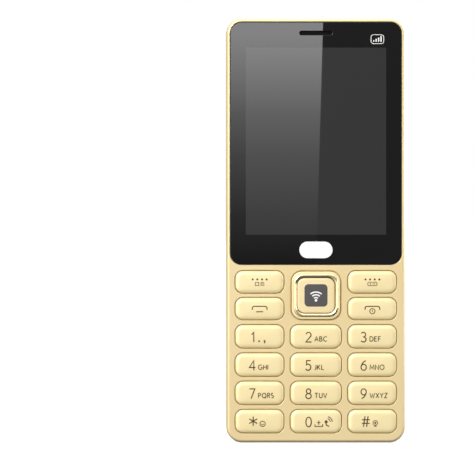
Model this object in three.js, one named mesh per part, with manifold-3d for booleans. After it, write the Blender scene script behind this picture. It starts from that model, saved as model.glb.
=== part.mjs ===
// A bar-shaped keypad mobile phone, modelled piece by piece: housings, window, keys, boards, battery, cover.
//
// Millimetres. The phone stands upright on its bottom edge. X runs to the right as seen from the front,
// Z runs up from the bottom edge, and Y runs from the front (negative) to the back (positive), with 0 in the
// middle of the thickness.

import * as THREE from 'three';
import { mergeVertices } from 'three/addons/utils/BufferGeometryUtils.js';
import Module from 'manifold-3d';

const wasm = await Module();
wasm.setup();

// ---------------------------------------------------------------------------------------------------------
// Driving sizes
// ---------------------------------------------------------------------------------------------------------

const body = {
  width: 58.6,
  height: 138.4,
  cornerRadius: 5.2,
  front: -6.3,
  back: 6.3,
  edgeRadius: 0.9,
  wall: 1.3,
};
const bodyMiddle = body.height / 2;

// The seam around the sides, between the front housing and the rear cover.
const seam = { front: -1.0, back: -0.7 };

const inside = {
  width: body.width - 2 * body.wall,
  height: body.height - 2 * body.wall,
  cornerRadius: body.cornerRadius - body.wall,
};

const displayWindow = {
  width: 55.9,
  height: 79.1,
  cornerRadius: 3.8,
  z: 97.6,
  front: body.front,
  back: -5.3,
  gap: 0.1,
};
// The shelf of the front housing that the window is glued to.
const shelf = { front: -5.25, back: -4.4 };

const lcd = { width: 48.6, height: 65.6, z: 97.9, front: -5.1, back: -2.6 };
const lcdFrame = { width: 50.6, height: 67.0, front: -4.3, floor: -2.5, back: -1.9 };
const earpieceSlot = { width: 10.7, height: 1.33, z: 133.5 };

// The front plate of the housing where the keys come through.
const keyPlate = { back: -4.9, top: 57.2 };

const sideColumn = 18.33;
const sideKeyWidth = 15.85;
const middleKeyWidth = 16.6;
const keyCornerRadius = 2.5;
const keyDepth = { top: -6.9, shoulder: -6.5, flangeTop: -4.6, flangeBottom: -4.2, foot: -3.9 };
const keyBevel = 0.4;
const keyGap = 0.2;
const keyFlange = 0.5;

const numberRows = { top: 34.7, pitch: 9.2, height: 7.6 };
const softKeyRow = { z: 52.45, height: 7.3 };
const callKeyRow = { z: 43.75, height: 7.2 };

const navRing = {
  width: 15.8,
  height: 15.5,
  cornerRadius: 3.4,
  holeWidth: 12.65,
  holeHeight: 11.8,
  holeRadius: 2.6,
  z: 48.1,
  top: -7.25,
  shoulder: -6.75,
  bevel: 0.45,
  gap: 0.3,
  flange: 0.7,
  flangeTop: -4.4,
  back: -4.0,
};
const okKeyGap = 0.25;
const okKeyTop = -6.75;
const navRocker = { width: 14.6, height: 14.2, front: -3.75, back: -3.45, rim: 1.2 };

const keypadMat = {
  width: 52.0,
  bottom: 5.0,
  top: 56.4,
  padFront: -3.4,
  front: -3.0,
  back: -2.6,
  foot: -1.95,
};
const domeSheet = { front: -1.75, back: -1.5 };
const board = { width: 52.8, bottom: 3.2, top: 135.0, front: -1.4, back: -0.4 };

// The chassis: a tray behind the board that carries the battery bay in its middle.
const chassis = {
  width: inside.width - 0.6,
  height: inside.height - 0.6,
  cornerRadius: inside.cornerRadius - 0.3,
  front: -0.95,
  floor: 0.0,
  bayFloor: 0.8,
  roof: 3.9,
  back: 4.9,
  wall: 1.2,
};
const bay = { width: 51.2, bottom: 24.0, top: 85.6 };
const bottomRoom = { bottom: bodyMiddle - chassis.height / 2 + chassis.wall, top: 22.5 };
const topRoom = { bottom: 87.5, top: bodyMiddle + chassis.height / 2 - chassis.wall };
const roomWidth = chassis.width - 2 * chassis.wall;

const battery = { width: 50.4, height: 60.6, z: 54.8, front: 1.6, back: 5.0 };
const connector = { width: 11.0, bottom: 85.65, top: 90.2, back: 3.6 };

const cover = { inner: 5.2, front: seam.back };

// Camera, flash and loudspeaker, all in a shallow glossy dish let into the upper part of the back. The dish
// starts steep at its rim and flattens over the slope width.
const island = {
  x: 7.3,
  z: 116.4,
  width: 35.2,
  height: 36.2,
  cornerRadius: 8.0,
  bed: 5.5,
  front: 5.55,
  back: body.back,
  dishDepth: 0.55,
  slopeWidth: 7.0,
};
const camera = { x: 15.4, z: 124.9 };
const flash = { x: 15.4, z: 108.3 };
const eye = { holeRadius: 6.0, rimInner: 6.8, rimOuter: 7.25, front: 5.6, bezelBack: 7.1, back: 7.25 };
const speaker = { x: -1.33, z: 116.5, width: 15.0, height: 11.0, front: 1.4, back: 4.8 };
const grille = { slotWidth: 1.08, radius: 6.8 };
const badge = { x: 15.3, z: 24.9, width: 5.8, height: 11.4, front: 6.35, back: 6.8 };

// Ports: charging socket and microphone in the bottom edge, headphone jack in the top edge.
const usbPort = { x: -2.3, width: 7.4, bottom: 1.9, top: 7.1, back: 2.1 };
const jack = { x: -15.5, y: 1.6, width: 6.2, bottom: 123.3, boreRadius: 1.75, collarRadius: 2.2 };
const microphone = { x: 16.1, y: -1.95, holeRadius: 0.5 };

// Cards under the battery. Each slides out towards -X along the floor of the bay.
const simCard = { length: 25.0, width: 15.0, x: 4.5, travel: 9.0 };
const memoryCard = { length: 15.0, width: 11.0, x: 5.5, travel: 8.0 };
const cards = [
  { card: 'sim_card_1', holder: 'sim_holder_1', z: 42.4, ...simCard },
  { card: 'sim_card_2', holder: 'sim_holder_2', z: 60.6, ...simCard },
  { card: 'memory_card', holder: 'memory_card_holder', z: 76.8, ...memoryCard },
];
const cardDepth = { front: 0.08, back: 0.84 };

// The four screws go through the chassis and the board into bosses on the front housing.
const screw = { headRadius: 1.3, headHeight: 0.5, shankRadius: 0.65, seat: 0.8, tip: -3.4 };
const upperScrews = { x: 24.0, z: 133.5, bossRadius: 1.9, towerRadius: 2.7 };
const lowerScrews = { x: 9.35, z: 11.7, bossRadius: 1.4, towerRadius: 2.3 };

// ---------------------------------------------------------------------------------------------------------
// Shapes
// ---------------------------------------------------------------------------------------------------------

// An outline in X and Z, anticlockwise as seen from the front, starting at the lower right corner.
function roundedRectangle(width, height, radius, steps = 3) {
  const points = [];
  const corners = [[1, -1, -90], [1, 1, 0], [-1, 1, 90], [-1, -1, 180]];
  for (const [sideX, sideZ, startAngle] of corners) {
    const centreX = sideX * (width / 2 - radius);
    const centreZ = sideZ * (height / 2 - radius);
    for (let step = 0; step <= steps; step += 1) {
      const angle = THREE.MathUtils.degToRad(startAngle + (90 * step) / steps);
      const x = centreX + radius * Math.cos(angle);
      const z = centreZ + radius * Math.sin(angle);
      points.push(new THREE.Vector2(x, z));
    }
  }
  return points;
}

// A closed solid through a stack of outlines with the same number of points, listed from front to back.
function loft(rings) {
  const positions = [];
  for (const ring of rings) {
    for (const point of ring.outline) {
      positions.push(point.x, ring.y, point.y);
    }
  }
  const count = rings[0].outline.length;
  const lastRing = (rings.length - 1) * count;
  const faces = [];
  for (let i = 1; i < count - 1; i += 1) {
    faces.push(0, i, i + 1);
    faces.push(lastRing, lastRing + i + 1, lastRing + i);
  }
  for (let ring = 0; ring < rings.length - 1; ring += 1) {
    for (let i = 0; i < count; i += 1) {
      const next = (i + 1) % count;
      const a = ring * count + i;
      const b = ring * count + next;
      faces.push(a, a + count, b + count);
      faces.push(a, b + count, b);
    }
  }
  const geometry = new THREE.BufferGeometry();
  geometry.setAttribute('position', new THREE.Float32BufferAttribute(positions, 3));
  geometry.setIndex(faces);
  return geometry;
}

function prism(outline, front, back) {
  return loft([{ outline, y: front }, { outline, y: back }]);
}

function block(width, height, front, back) {
  const geometry = new THREE.BoxGeometry(width, back - front, height);
  return geometry.translate(0, (front + back) / 2, 0);
}

// A round bar along Y.
function bar(radius, front, back, sides = 16) {
  const geometry = new THREE.CylinderGeometry(radius, radius, back - front, sides);
  return geometry.translate(0, (front + back) / 2, 0);
}

// A round bar along Z.
function uprightBar(radius, bottom, top, sides = 16) {
  const geometry = new THREE.CylinderGeometry(radius, radius, top - bottom, sides);
  geometry.rotateX(Math.PI / 2);
  return geometry.translate(0, 0, (bottom + top) / 2);
}

// A shape turned about Y from a profile of [radius, depth] points.
function turned(profile, sides = 24) {
  return new THREE.LatheGeometry(profile.map(([radius, y]) => new THREE.Vector2(radius, y)), sides);
}

function at(geometry, x, z, y = 0) {
  return geometry.translate(x, y, z);
}

// ---------------------------------------------------------------------------------------------------------
// Joining and cutting
// ---------------------------------------------------------------------------------------------------------

function solidFrom(geometry) {
  const bare = geometry.clone();
  bare.deleteAttribute('normal');
  bare.deleteAttribute('uv');
  const merged = mergeVertices(bare);
  return new wasm.Manifold(new wasm.Mesh({
    numProp: 3,
    vertProperties: merged.attributes.position.array,
    triVerts: new Uint32Array(merged.index.array),
  }));
}

function geometryFrom(solid) {
  const mesh = solid.getMesh();
  const geometry = new THREE.BufferGeometry();
  geometry.setAttribute('position', new THREE.BufferAttribute(mesh.vertProperties, 3));
  geometry.setIndex(new THREE.BufferAttribute(mesh.triVerts, 1));
  return geometry;
}

function join(...geometries) {
  const solids = geometries.map(solidFrom);
  return geometryFrom(solids.reduce((whole, part) => whole.add(part)));
}

function cut(geometry, tools) {
  const solid = tools.map(solidFrom).reduce((rest, tool) => rest.subtract(tool), solidFrom(geometry));
  return geometryFrom(solid);
}

// ---------------------------------------------------------------------------------------------------------
// Materials
// ---------------------------------------------------------------------------------------------------------

function finish(color, roughness, metalness, opacity = 1) {
  return new THREE.MeshStandardMaterial({
    color,
    roughness,
    metalness,
    opacity,
    transparent: opacity < 1,
    flatShading: true,
  });
}

const goldPlastic = () => finish(0xead9a8, 0.45, 0.25);
const keyPlastic = () => finish(0xf4e4b8, 0.4, 0.2);
const polishedGold = () => finish(0xd9b56a, 0.12, 1.0);
const glossyGold = () => finish(0xe6cf9c, 0.15, 0.5);
const blackGlass = () => finish(0x101012, 0.06, 0.0);
const clearGlass = () => finish(0xcfd8dc, 0.05, 0.0, 0.4);
const blackGloss = () => finish(0x0c0c0d, 0.15, 0.1);
const darkPlastic = () => finish(0x2a2a2c, 0.6, 0.0);
const rubber = () => finish(0xbdb7a6, 0.85, 0.0);
const steel = () => finish(0xb9bcc0, 0.3, 1.0);
const greenBoard = () => finish(0x1f5a3a, 0.5, 0.1);
const labelWhite = () => finish(0xe9e9e4, 0.6, 0.0);

// ---------------------------------------------------------------------------------------------------------
// Keys
// ---------------------------------------------------------------------------------------------------------

// Name, place and size of every key except the navigation ring and the OK key inside it.
function keyPlan() {
  const keys = [
    { name: 'soft_key_left', x: -sideColumn, width: sideKeyWidth, ...softKeyRow },
    { name: 'soft_key_right', x: sideColumn, width: sideKeyWidth, ...softKeyRow },
    { name: 'call_key', x: -sideColumn, width: sideKeyWidth, ...callKeyRow },
    { name: 'end_key', x: sideColumn, width: sideKeyWidth, ...callKeyRow },
  ];
  const numberNames = [
    ['key_1', 'key_2', 'key_3'],
    ['key_4', 'key_5', 'key_6'],
    ['key_7', 'key_8', 'key_9'],
    ['key_star', 'key_0', 'key_hash'],
  ];
  numberNames.forEach((rowNames, row) => {
    rowNames.forEach((name, column) => {
      keys.push({
        name,
        x: (column - 1) * sideColumn,
        width: column === 1 ? middleKeyWidth : sideKeyWidth,
        z: numberRows.top - row * numberRows.pitch,
        height: numberRows.height,
      });
    });
  });
  return keys;
}

// A rounded rectangle drawn out, or in where grow is negative, by the same amount all round.
function grown({ width, height, cornerRadius }, grow) {
  return roundedRectangle(width + 2 * grow, height + 2 * grow, cornerRadius + grow);
}

// A key: bevelled cap, flange that stops it leaving the housing, and a foot that presses the mat.
function keyGeometry(key) {
  const outline = (grow) => grown({ ...key, cornerRadius: keyCornerRadius }, grow);
  const cap = loft([
    { outline: outline(-keyBevel), y: keyDepth.top },
    { outline: outline(0), y: keyDepth.shoulder },
    { outline: outline(0), y: keyDepth.flangeTop },
    { outline: outline(keyFlange), y: keyDepth.flangeTop },
    { outline: outline(keyFlange), y: keyDepth.flangeBottom },
  ]);
  const foot = block(6.0, 3.0, keyDepth.flangeBottom - 0.1, keyDepth.foot);
  return join(cap, foot);
}

function makeKey(key) {
  return piece(key.name, keyGeometry(key), keyPlastic(), key.x, key.z);
}

// The ring around the OK key: a polished frame that rocks to the four sides.
function makeNavRing() {
  const ring = navRing;
  const holeSize = { width: ring.holeWidth, height: ring.holeHeight, cornerRadius: ring.holeRadius };
  const outline = (grow) => grown(ring, grow);
  const hole = (grow) => grown(holeSize, grow);
  const outside = loft([
    { outline: outline(-ring.bevel), y: ring.top },
    { outline: outline(0), y: ring.shoulder },
    { outline: outline(0), y: ring.flangeTop },
    { outline: outline(ring.flange), y: ring.flangeTop },
    { outline: outline(ring.flange), y: ring.back },
  ]);
  const opening = loft([
    { outline: hole(ring.bevel), y: ring.top - 0.01 },
    { outline: hole(0), y: ring.shoulder },
    { outline: hole(0), y: ring.back + 0.1 },
  ]);
  return piece('nav_ring', cut(outside, [opening]), polishedGold(), 0, ring.z);
}

// The rubber rocker under the ring, which passes its tilt on to the four switches.
function makeNavRocker() {
  const { width, height, front, back, rim } = navRocker;
  const plate = prism(roundedRectangle(width, height, 3.0), front, back);
  const opening = prism(roundedRectangle(width - 2 * rim, height - 2 * rim, 1.8), front - 0.1, back + 0.1);
  return piece('nav_rocker', cut(plate, [opening]), rubber(), 0, navRing.z);
}

function makeOkKey() {
  const width = navRing.holeWidth - 2 * okKeyGap;
  const height = navRing.holeHeight - 2 * okKeyGap;
  const radius = navRing.holeRadius - okKeyGap;
  const cap = loft([
    { outline: roundedRectangle(width - 0.5, height - 0.5, radius - 0.25), y: okKeyTop },
    { outline: roundedRectangle(width, height, radius), y: okKeyTop + 0.25 },
    { outline: roundedRectangle(width, height, radius), y: keyDepth.flangeBottom },
  ]);
  const foot = block(4.0, 4.0, keyDepth.flangeBottom - 0.1, keyDepth.foot);
  return piece('ok_key', join(cap, foot), keyPlastic(), 0, navRing.z);
}

function keyOpening(key) {
  const outline = grown({ ...key, cornerRadius: keyCornerRadius }, keyGap);
  return at(prism(outline, body.front - 0.1, keyPlate.back + 0.1), key.x, key.z);
}

// ---------------------------------------------------------------------------------------------------------
// Screws and what they go through
// ---------------------------------------------------------------------------------------------------------

function screwPlan() {
  const screws = [];
  for (const [level, group] of [['upper', upperScrews], ['lower', lowerScrews]]) {
    for (const [side, sideName] of [[-1, 'left'], [1, 'right']]) {
      screws.push({ ...group, name: `screw_${level}_${sideName}`, x: side * group.x });
    }
  }
  return screws;
}

// A pan head with a cross slot on a plain shank.
function makeScrew(place) {
  const head = bar(screw.headRadius, screw.seat + 0.02, screw.seat + screw.headHeight);
  const shank = bar(screw.shankRadius, screw.tip, screw.seat + 0.1, 12);
  const slotTop = screw.seat + screw.headHeight + 0.1;
  const slots = [block(1.5, 0.3, slotTop - 0.35, slotTop), block(0.3, 1.5, slotTop - 0.35, slotTop)];
  return piece(place.name, cut(join(head, shank), slots), steel(), place.x, place.z);
}

// ---------------------------------------------------------------------------------------------------------
// Front half: housing, window, display, earpiece
// ---------------------------------------------------------------------------------------------------------

// A quarter round along an edge, as [how far the outline is drawn in, depth behind the face] pairs.
function edgeRound(radius, steps = 3) {
  const pairs = [];
  for (let step = 0; step <= steps; step += 1) {
    const angle = (Math.PI / 2) * (step / steps);
    pairs.push([radius * (1 - Math.sin(angle)), radius * (1 - Math.cos(angle))]);
  }
  return pairs;
}

function bodyOutline(drawnIn) {
  const width = body.width - 2 * drawnIn;
  const height = body.height - 2 * drawnIn;
  return roundedRectangle(width, height, body.cornerRadius - drawnIn, 6);
}

function makeFrontHousing() {
  const frontEdge = edgeRound(body.edgeRadius).map(([drawnIn, depth]) => {
    return { outline: bodyOutline(drawnIn), y: body.front + depth };
  });
  const shell = at(loft([...frontEdge, { outline: bodyOutline(0), y: seam.front }]), 0, bodyMiddle);

  const { width, height, cornerRadius, gap, z } = displayWindow;
  const recessOutline = roundedRectangle(width + 2 * gap, height + 2 * gap, cornerRadius + gap, 6);
  const windowRecess = at(prism(recessOutline, body.front - 0.1, shelf.front), 0, z);
  const throughShelf = (width, height, z) => {
    return at(block(width, height, shelf.front - 0.1, shelf.back + 0.1), 0, z);
  };
  const displayOpening = throughShelf(lcd.width + 0.6, lcd.height + 0.6, lcd.z);
  const soundOpening = throughShelf(12.0, 2.4, earpieceSlot.z);

  const insideOutline = roundedRectangle(inside.width, inside.height, inside.cornerRadius, 6);
  const hollow = at(prism(insideOutline, shelf.back, seam.front + 0.1), 0, bodyMiddle);
  const keyRoomHeight = keyPlate.top - body.wall;
  const keyRoomOutline = roundedRectangle(inside.width, keyRoomHeight, inside.cornerRadius, 6);
  const keyRoomMiddle = body.wall + keyRoomHeight / 2;
  const keyRoom = at(prism(keyRoomOutline, keyPlate.back, shelf.back + 0.1), 0, keyRoomMiddle);

  const ringOutline = grown(navRing, navRing.gap);
  const ringOpening = at(prism(ringOutline, body.front - 0.1, keyPlate.back + 0.1), 0, navRing.z);
  const microphoneBore = uprightBar(microphone.holeRadius, -0.1, body.wall + 0.1, 8);
  const microphoneHole = at(microphoneBore, microphone.x, 0, microphone.y);

  const windowOpenings = [windowRecess, displayOpening, soundOpening];
  const keyOpenings = [keyRoom, ringOpening, ...keyPlan().map(keyOpening)];
  const opened = cut(shell, [...windowOpenings, hollow, ...keyOpenings, microphoneHole]);

  const bosses = screwPlan().map((place) => {
    return at(bar(place.bossRadius, keyPlate.back - 0.2, chassis.floor - 0.1, 12), place.x, place.z);
  });
  const pilotHoles = screwPlan().map((place) => {
    return at(bar(screw.shankRadius + 0.1, screw.tip - 0.2, chassis.floor, 12), place.x, place.z);
  });
  return piece('front_housing', cut(join(opened, ...bosses), pilotHoles), goldPlastic());
}

function makeDisplayWindow() {
  const { width, height, cornerRadius, front, back, z } = displayWindow;
  const plate = loft([
    { outline: roundedRectangle(width - 0.4, height - 0.4, cornerRadius - 0.2, 6), y: front },
    { outline: roundedRectangle(width, height, cornerRadius, 6), y: front + 0.2 },
    { outline: roundedRectangle(width, height, cornerRadius, 6), y: back },
  ]);
  const slotRadius = earpieceSlot.height * 0.49;
  const slotOutline = roundedRectangle(earpieceSlot.width, earpieceSlot.height, slotRadius, 3);
  const slot = at(prism(slotOutline, front - 0.1, back + 0.1), 0, earpieceSlot.z - z);
  return piece('display_window', cut(plate, [slot]), blackGlass(), 0, z);
}

function makeLcdPanel() {
  return piece('lcd_panel', block(lcd.width, lcd.height, lcd.front, lcd.back), darkPlastic(), 0, lcd.z);
}

function makeLcdFrame() {
  const { width, height, front, floor, back } = lcdFrame;
  const tray = block(width, height, front, back);
  const pocket = block(lcd.width + 0.3, lcd.height + 0.4, front - 0.1, floor);
  return piece('lcd_frame', cut(tray, [pocket]), steel(), 0, lcd.z);
}

function makeEarpiece() {
  const capsule = prism(roundedRectangle(11.0, 3.2, 1.2, 3), shelf.back + 0.1, shelf.back + 2.0);
  return piece('earpiece', capsule, darkPlastic(), 0, earpieceSlot.z);
}

function makeEarpieceMesh() {
  const outline = roundedRectangle(earpieceSlot.width - 0.2, earpieceSlot.height - 0.2, 0.5, 3);
  const mesh = prism(outline, displayWindow.front + 0.5, displayWindow.front + 0.8);
  return piece('earpiece_mesh', mesh, steel(), 0, earpieceSlot.z);
}

// ---------------------------------------------------------------------------------------------------------
// Middle: keypad mat, dome sheet, board and what is soldered to it
// ---------------------------------------------------------------------------------------------------------

// The holes that let the screw bosses through a sheet.
function bossHoles(front, back) {
  return screwPlan().map(({ x, z, bossRadius }) => {
    return at(bar(bossRadius + 0.4, front - 0.1, back + 0.1, 12), x, z);
  });
}

// A pad towards each key and a small foot towards its switch, on one sheet of rubber.
function makeKeypadMat() {
  const { width, bottom, top, padFront, front, back, foot } = keypadMat;
  const middle = (bottom + top) / 2;
  const sheet = at(block(width, top - bottom, front, back), 0, middle);
  const places = [...keyPlan(), { x: 0, z: navRing.z }];
  const pads = places.map(({ x, z }) => at(block(5.0, 2.6, padFront, front + 0.1), x, z));
  const feet = places.map(({ x, z }) => at(block(2.4, 2.4, back - 0.1, foot), x, z));
  return piece('keypad_mat', cut(join(sheet, ...pads, ...feet), bossHoles(front, back)), rubber());
}

function makeDomeSheet() {
  const { width, bottom, top } = keypadMat;
  const { front, back } = domeSheet;
  const sheet = at(block(width, top - bottom, front, back), 0, (bottom + top) / 2);
  return piece('dome_sheet', cut(sheet, bossHoles(front, back)), labelWhite());
}

// The board has a notch at each upper corner for the screw bosses, and one for the headphone jack.
function makeMainBoard() {
  const { width, bottom, top, front, back } = board;
  const plate = at(block(width, top - bottom, front, back), 0, (bottom + top) / 2);
  const notchSize = 2 * upperScrews.bossRadius + 4.8;
  const cornerNotches = [-1, 1].map((side) => {
    const notch = block(notchSize, notchSize, front - 0.1, back + 0.1);
    return at(notch, side * (upperScrews.x + 2.0), upperScrews.z + 2.0);
  });
  const jackNotch = at(block(jack.width + 0.8, 20.0, front - 0.1, back + 0.1), jack.x, jack.bottom + 9.6);
  const openings = [...cornerNotches, ...bossHoles(front, back), jackNotch];
  return piece('main_board', cut(plate, openings), greenBoard());
}

function makeMicrophone() {
  const can = block(3.6, 2.8, microphone.y - 0.45, board.front - 0.05);
  return piece('microphone', can, steel(), microphone.x, body.wall + 1.8);
}

function makeUsbPort() {
  const { x, width, bottom, top, back } = usbPort;
  const length = top - bottom;
  const thickness = back - board.back - 0.05;
  const shell = prism(roundedRectangle(width, thickness, 0.6, 2), -length / 2, length / 2);
  const mouthOutline = roundedRectangle(width - 0.8, thickness - 0.8, 0.4, 2);
  const mouth = prism(mouthOutline, -length / 2 - 0.1, length / 2 - 1.0);
  const tongue = block(width - 3.0, 0.6, -length / 2 + 0.8, length / 2 - 0.9);
  const port = join(cut(shell, [mouth]), tongue);
  port.rotateX(Math.PI / 2);
  port.rotateZ(Math.PI);
  return piece('usb_port', port, steel(), x, (bottom + top) / 2, (board.back + 0.05 + back) / 2);
}

function makeAudioJack() {
  const { x, y, width, bottom, boreRadius, collarRadius } = jack;
  const top = topRoom.top - 0.3;
  const housing = at(block(width, top - bottom, -2.2, 2.2), 0, (top + bottom) / 2);
  const collar = uprightBar(collarRadius, top - 0.1, top + 1.3);
  const bore = uprightBar(boreRadius, bottom + 1.0, top + 1.4);
  return piece('audio_jack', cut(join(housing, collar), [bore]), darkPlastic(), x, 0, y);
}

function makeVibrationMotor() {
  return piece('vibration_motor', bar(4.0, board.back + 0.05, board.back + 2.75), steel(), -19.0, 12.5);
}

function makeLoudspeaker() {
  const { x, z, width, height, front, back } = speaker;
  const rim = loft([
    { outline: roundedRectangle(width, height, 1.5, 3), y: front },
    { outline: roundedRectangle(width, height, 1.5, 3), y: back - 0.5 },
    { outline: roundedRectangle(width - 1.6, height - 1.6, 1.0, 3), y: back - 0.5 },
    { outline: roundedRectangle(width - 2.4, height - 2.4, 0.8, 3), y: back },
  ]);
  return piece('loudspeaker', rim, darkPlastic(), x, z);
}

function makeCameraModule() {
  const sensorBlock = block(8.5, 8.5, board.back + 0.05, 4.1);
  const barrel = bar(3.0, 4.0, 5.0);
  return piece('camera_module', join(sensorBlock, barrel), darkPlastic(), camera.x, camera.z);
}

function makeFlashLed() {
  const base = block(5.0, 5.0, board.back + 0.05, 4.3);
  const lens = bar(2.2, 4.2, 5.0);
  return piece('flash_led', join(base, lens), labelWhite(), flash.x, flash.z);
}

function makeBatteryConnector() {
  const { width, bottom, top, back } = connector;
  const housing = block(width, top - bottom, board.back + 0.05, back);
  return piece('battery_connector', housing, darkPlastic(), 0, (bottom + top) / 2);
}

// A base on the board and a bridge over the card, open at both ends.
function makeCardHolder(plan) {
  const inner = plan.width + 0.5;
  const outer = inner + 0.8;
  const base = block(plan.length - 5.0, outer, board.back + 0.02, 0.0);
  const bridge = block(12.0, outer, -0.1, 1.25);
  const slot = block(14.0, inner, 0.0, 0.95);
  return piece(plan.holder, cut(join(base, bridge), [slot]), steel(), plan.x + 1.5, plan.z);
}

// A card with one corner cut off.
function makeCard(plan) {
  const blank = block(plan.length, plan.width, cardDepth.front, cardDepth.back);
  const corner = block(4.0, 4.0, cardDepth.front - 0.1, cardDepth.back + 0.1);
  corner.rotateY(Math.PI / 4);
  at(corner, plan.length / 2, plan.width / 2);
  return piece(plan.card, cut(blank, [corner]), labelWhite(), plan.x, plan.z);
}

// ---------------------------------------------------------------------------------------------------------
// Rear half: chassis, battery, cover
// ---------------------------------------------------------------------------------------------------------

function cardOpening(plan) {
  const length = plan.length + plan.travel + 3.2;
  const opening = block(length, plan.width + 1.8, chassis.floor - 0.1, chassis.bayFloor + 0.1);
  return at(opening, plan.x - plan.travel / 2 + 1.0, plan.z);
}

function makeRearHousing() {
  const { front, floor, bayFloor, roof, back } = chassis;
  const outline = roundedRectangle(chassis.width, chassis.height, chassis.cornerRadius, 6);
  const tray = at(prism(outline, front, back), 0, bodyMiddle);

  const boardRoom = at(block(roomWidth, topRoom.top - bottomRoom.bottom, front - 0.1, floor), 0,
    (topRoom.top + bottomRoom.bottom) / 2);
  const rooms = [bottomRoom, topRoom].map(({ bottom, top }) => {
    return at(block(roomWidth, top - bottom, floor - 0.1, roof), 0, (top + bottom) / 2);
  });
  const batteryRoom = block(bay.width, bay.top - bay.bottom, bayFloor, back + 0.1);
  const batteryBay = at(batteryRoom, 0, (bay.top + bay.bottom) / 2);

  const throughRoof = (width, height, place) => {
    return at(block(width, height, roof - 0.1, back + 0.1), place.x, place.z);
  };
  const speakerHole = throughRoof(speaker.width + 0.6, speaker.height + 0.6, speaker);
  const cameraHole = throughRoof(9.0, 9.0, camera);
  const flashHole = throughRoof(5.6, 5.6, flash);
  const connectorRoom = block(connector.width + 0.6, 2.4, floor - 0.1, connector.back + 0.3);
  const connectorHole = at(connectorRoom, 0, (bay.top + topRoom.bottom) / 2);
  const usbRoom = block(usbPort.width + 0.5, 2.4, front - 0.1, usbPort.back + 0.25);
  const usbHole = at(usbRoom, usbPort.x, bottomRoom.bottom - 0.8);
  const jackBore = uprightBar(jack.collarRadius + 0.25, topRoom.top - 0.5, topRoom.top + 2.0);
  const jackHole = at(jackBore, jack.x, 0, jack.y);

  const roofHoles = [speakerHole, cameraHole, flashHole];
  const wallHoles = [connectorHole, usbHole, jackHole];
  const floorHoles = cards.map(cardOpening);
  const hollowed = cut(tray, [boardRoom, ...rooms, batteryBay, ...roofHoles, ...wallHoles, ...floorHoles]);

  const towers = screwPlan().map(({ x, z, towerRadius }) => at(bar(towerRadius, floor, back - 0.1), x, z));
  const bores = screwPlan().flatMap(({ x, z }) => [
    at(bar(screw.headRadius + 0.25, screw.seat, back + 0.1), x, z),
    at(bar(screw.shankRadius + 0.1, front, back, 12), x, z),
  ]);
  return piece('rear_housing', cut(join(hollowed, ...towers), bores), darkPlastic());
}

// The aerial lies on the chassis under the cover, along the bottom edge.
function makeAntenna() {
  return piece('antenna', block(44.0, 4.6, chassis.back + 0.05, cover.inner - 0.07), steel(), 0, 6.0);
}

function makeBattery() {
  const { width, height, front, back, z } = battery;
  const pack = loft([
    { outline: roundedRectangle(width - 0.8, height - 0.8, 0.8, 2), y: front },
    { outline: roundedRectangle(width, height, 1.2, 2), y: front + 0.4 },
    { outline: roundedRectangle(width, height, 1.2, 2), y: back - 0.4 },
    { outline: roundedRectangle(width - 0.8, height - 0.8, 0.8, 2), y: back },
  ]);
  return piece('battery', pack, darkPlastic(), 0, z);
}

function makeBackCover() {
  const backEdge = edgeRound(body.edgeRadius).reverse().map(([drawnIn, depth]) => {
    return { outline: bodyOutline(drawnIn), y: body.back - depth };
  });
  const shell = at(loft([{ outline: bodyOutline(0), y: cover.front }, ...backEdge]), 0, bodyMiddle);

  const pocketOutline = roundedRectangle(inside.width, inside.height, inside.cornerRadius, 6);
  const pocket = at(prism(pocketOutline, cover.front - 0.1, cover.inner), 0, bodyMiddle);
  const bedOutline = roundedRectangle(island.width + 0.3, island.height + 0.3, island.cornerRadius + 0.15, 6);
  const islandBed = at(prism(bedOutline, island.bed, body.back + 0.1), island.x, island.z);
  const throughBack = (radius, place) => {
    return at(bar(radius, cover.inner - 0.1, body.back + 0.1, 20), place.x, place.z);
  };
  const backHoles = [throughBack(eye.holeRadius, camera), throughBack(eye.holeRadius, flash)];
  const soundHole = throughBack(grille.radius, speaker);
  const usbSlot = block(8.6, body.wall + 0.4, cover.front - 0.1, usbPort.back + 0.35);
  const usbMouth = at(usbSlot, usbPort.x, body.wall / 2);
  const jackBore = uprightBar(2.0, body.height - body.wall - 0.2, body.height + 0.1);
  const jackMouth = at(jackBore, jack.x, 0, jack.y);
  const openings = [pocket, islandBed, ...backHoles, soundHole, usbMouth, jackMouth];
  return piece('back_cover', cut(shell, openings), goldPlastic());
}

// The sound slots: rows of a tilted pattern, each slot as [along the row, across the rows, length].
function grillePlan() {
  const row = 2.27;
  return [
    [0, 2 * row, 6.3],
    [-2.83, row, 4.7],
    [2.83, row, 4.7],
    [-4.46, 0, grille.slotWidth * 1.02],
    [0, 0, 5.3],
    [4.46, 0, grille.slotWidth * 1.02],
    [-2.83, -row, 4.7],
    [2.83, -row, 4.7],
    [0, -2 * row, 6.3],
  ];
}

function grilleSlot([along, across, length]) {
  const outline = roundedRectangle(length, grille.slotWidth, grille.slotWidth * 0.49, 2);
  const slot = at(prism(outline, island.bed - 0.1, island.back + 0.1), along, across);
  slot.rotateY(-Math.PI / 4);
  return at(slot, speaker.x, speaker.z);
}

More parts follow.
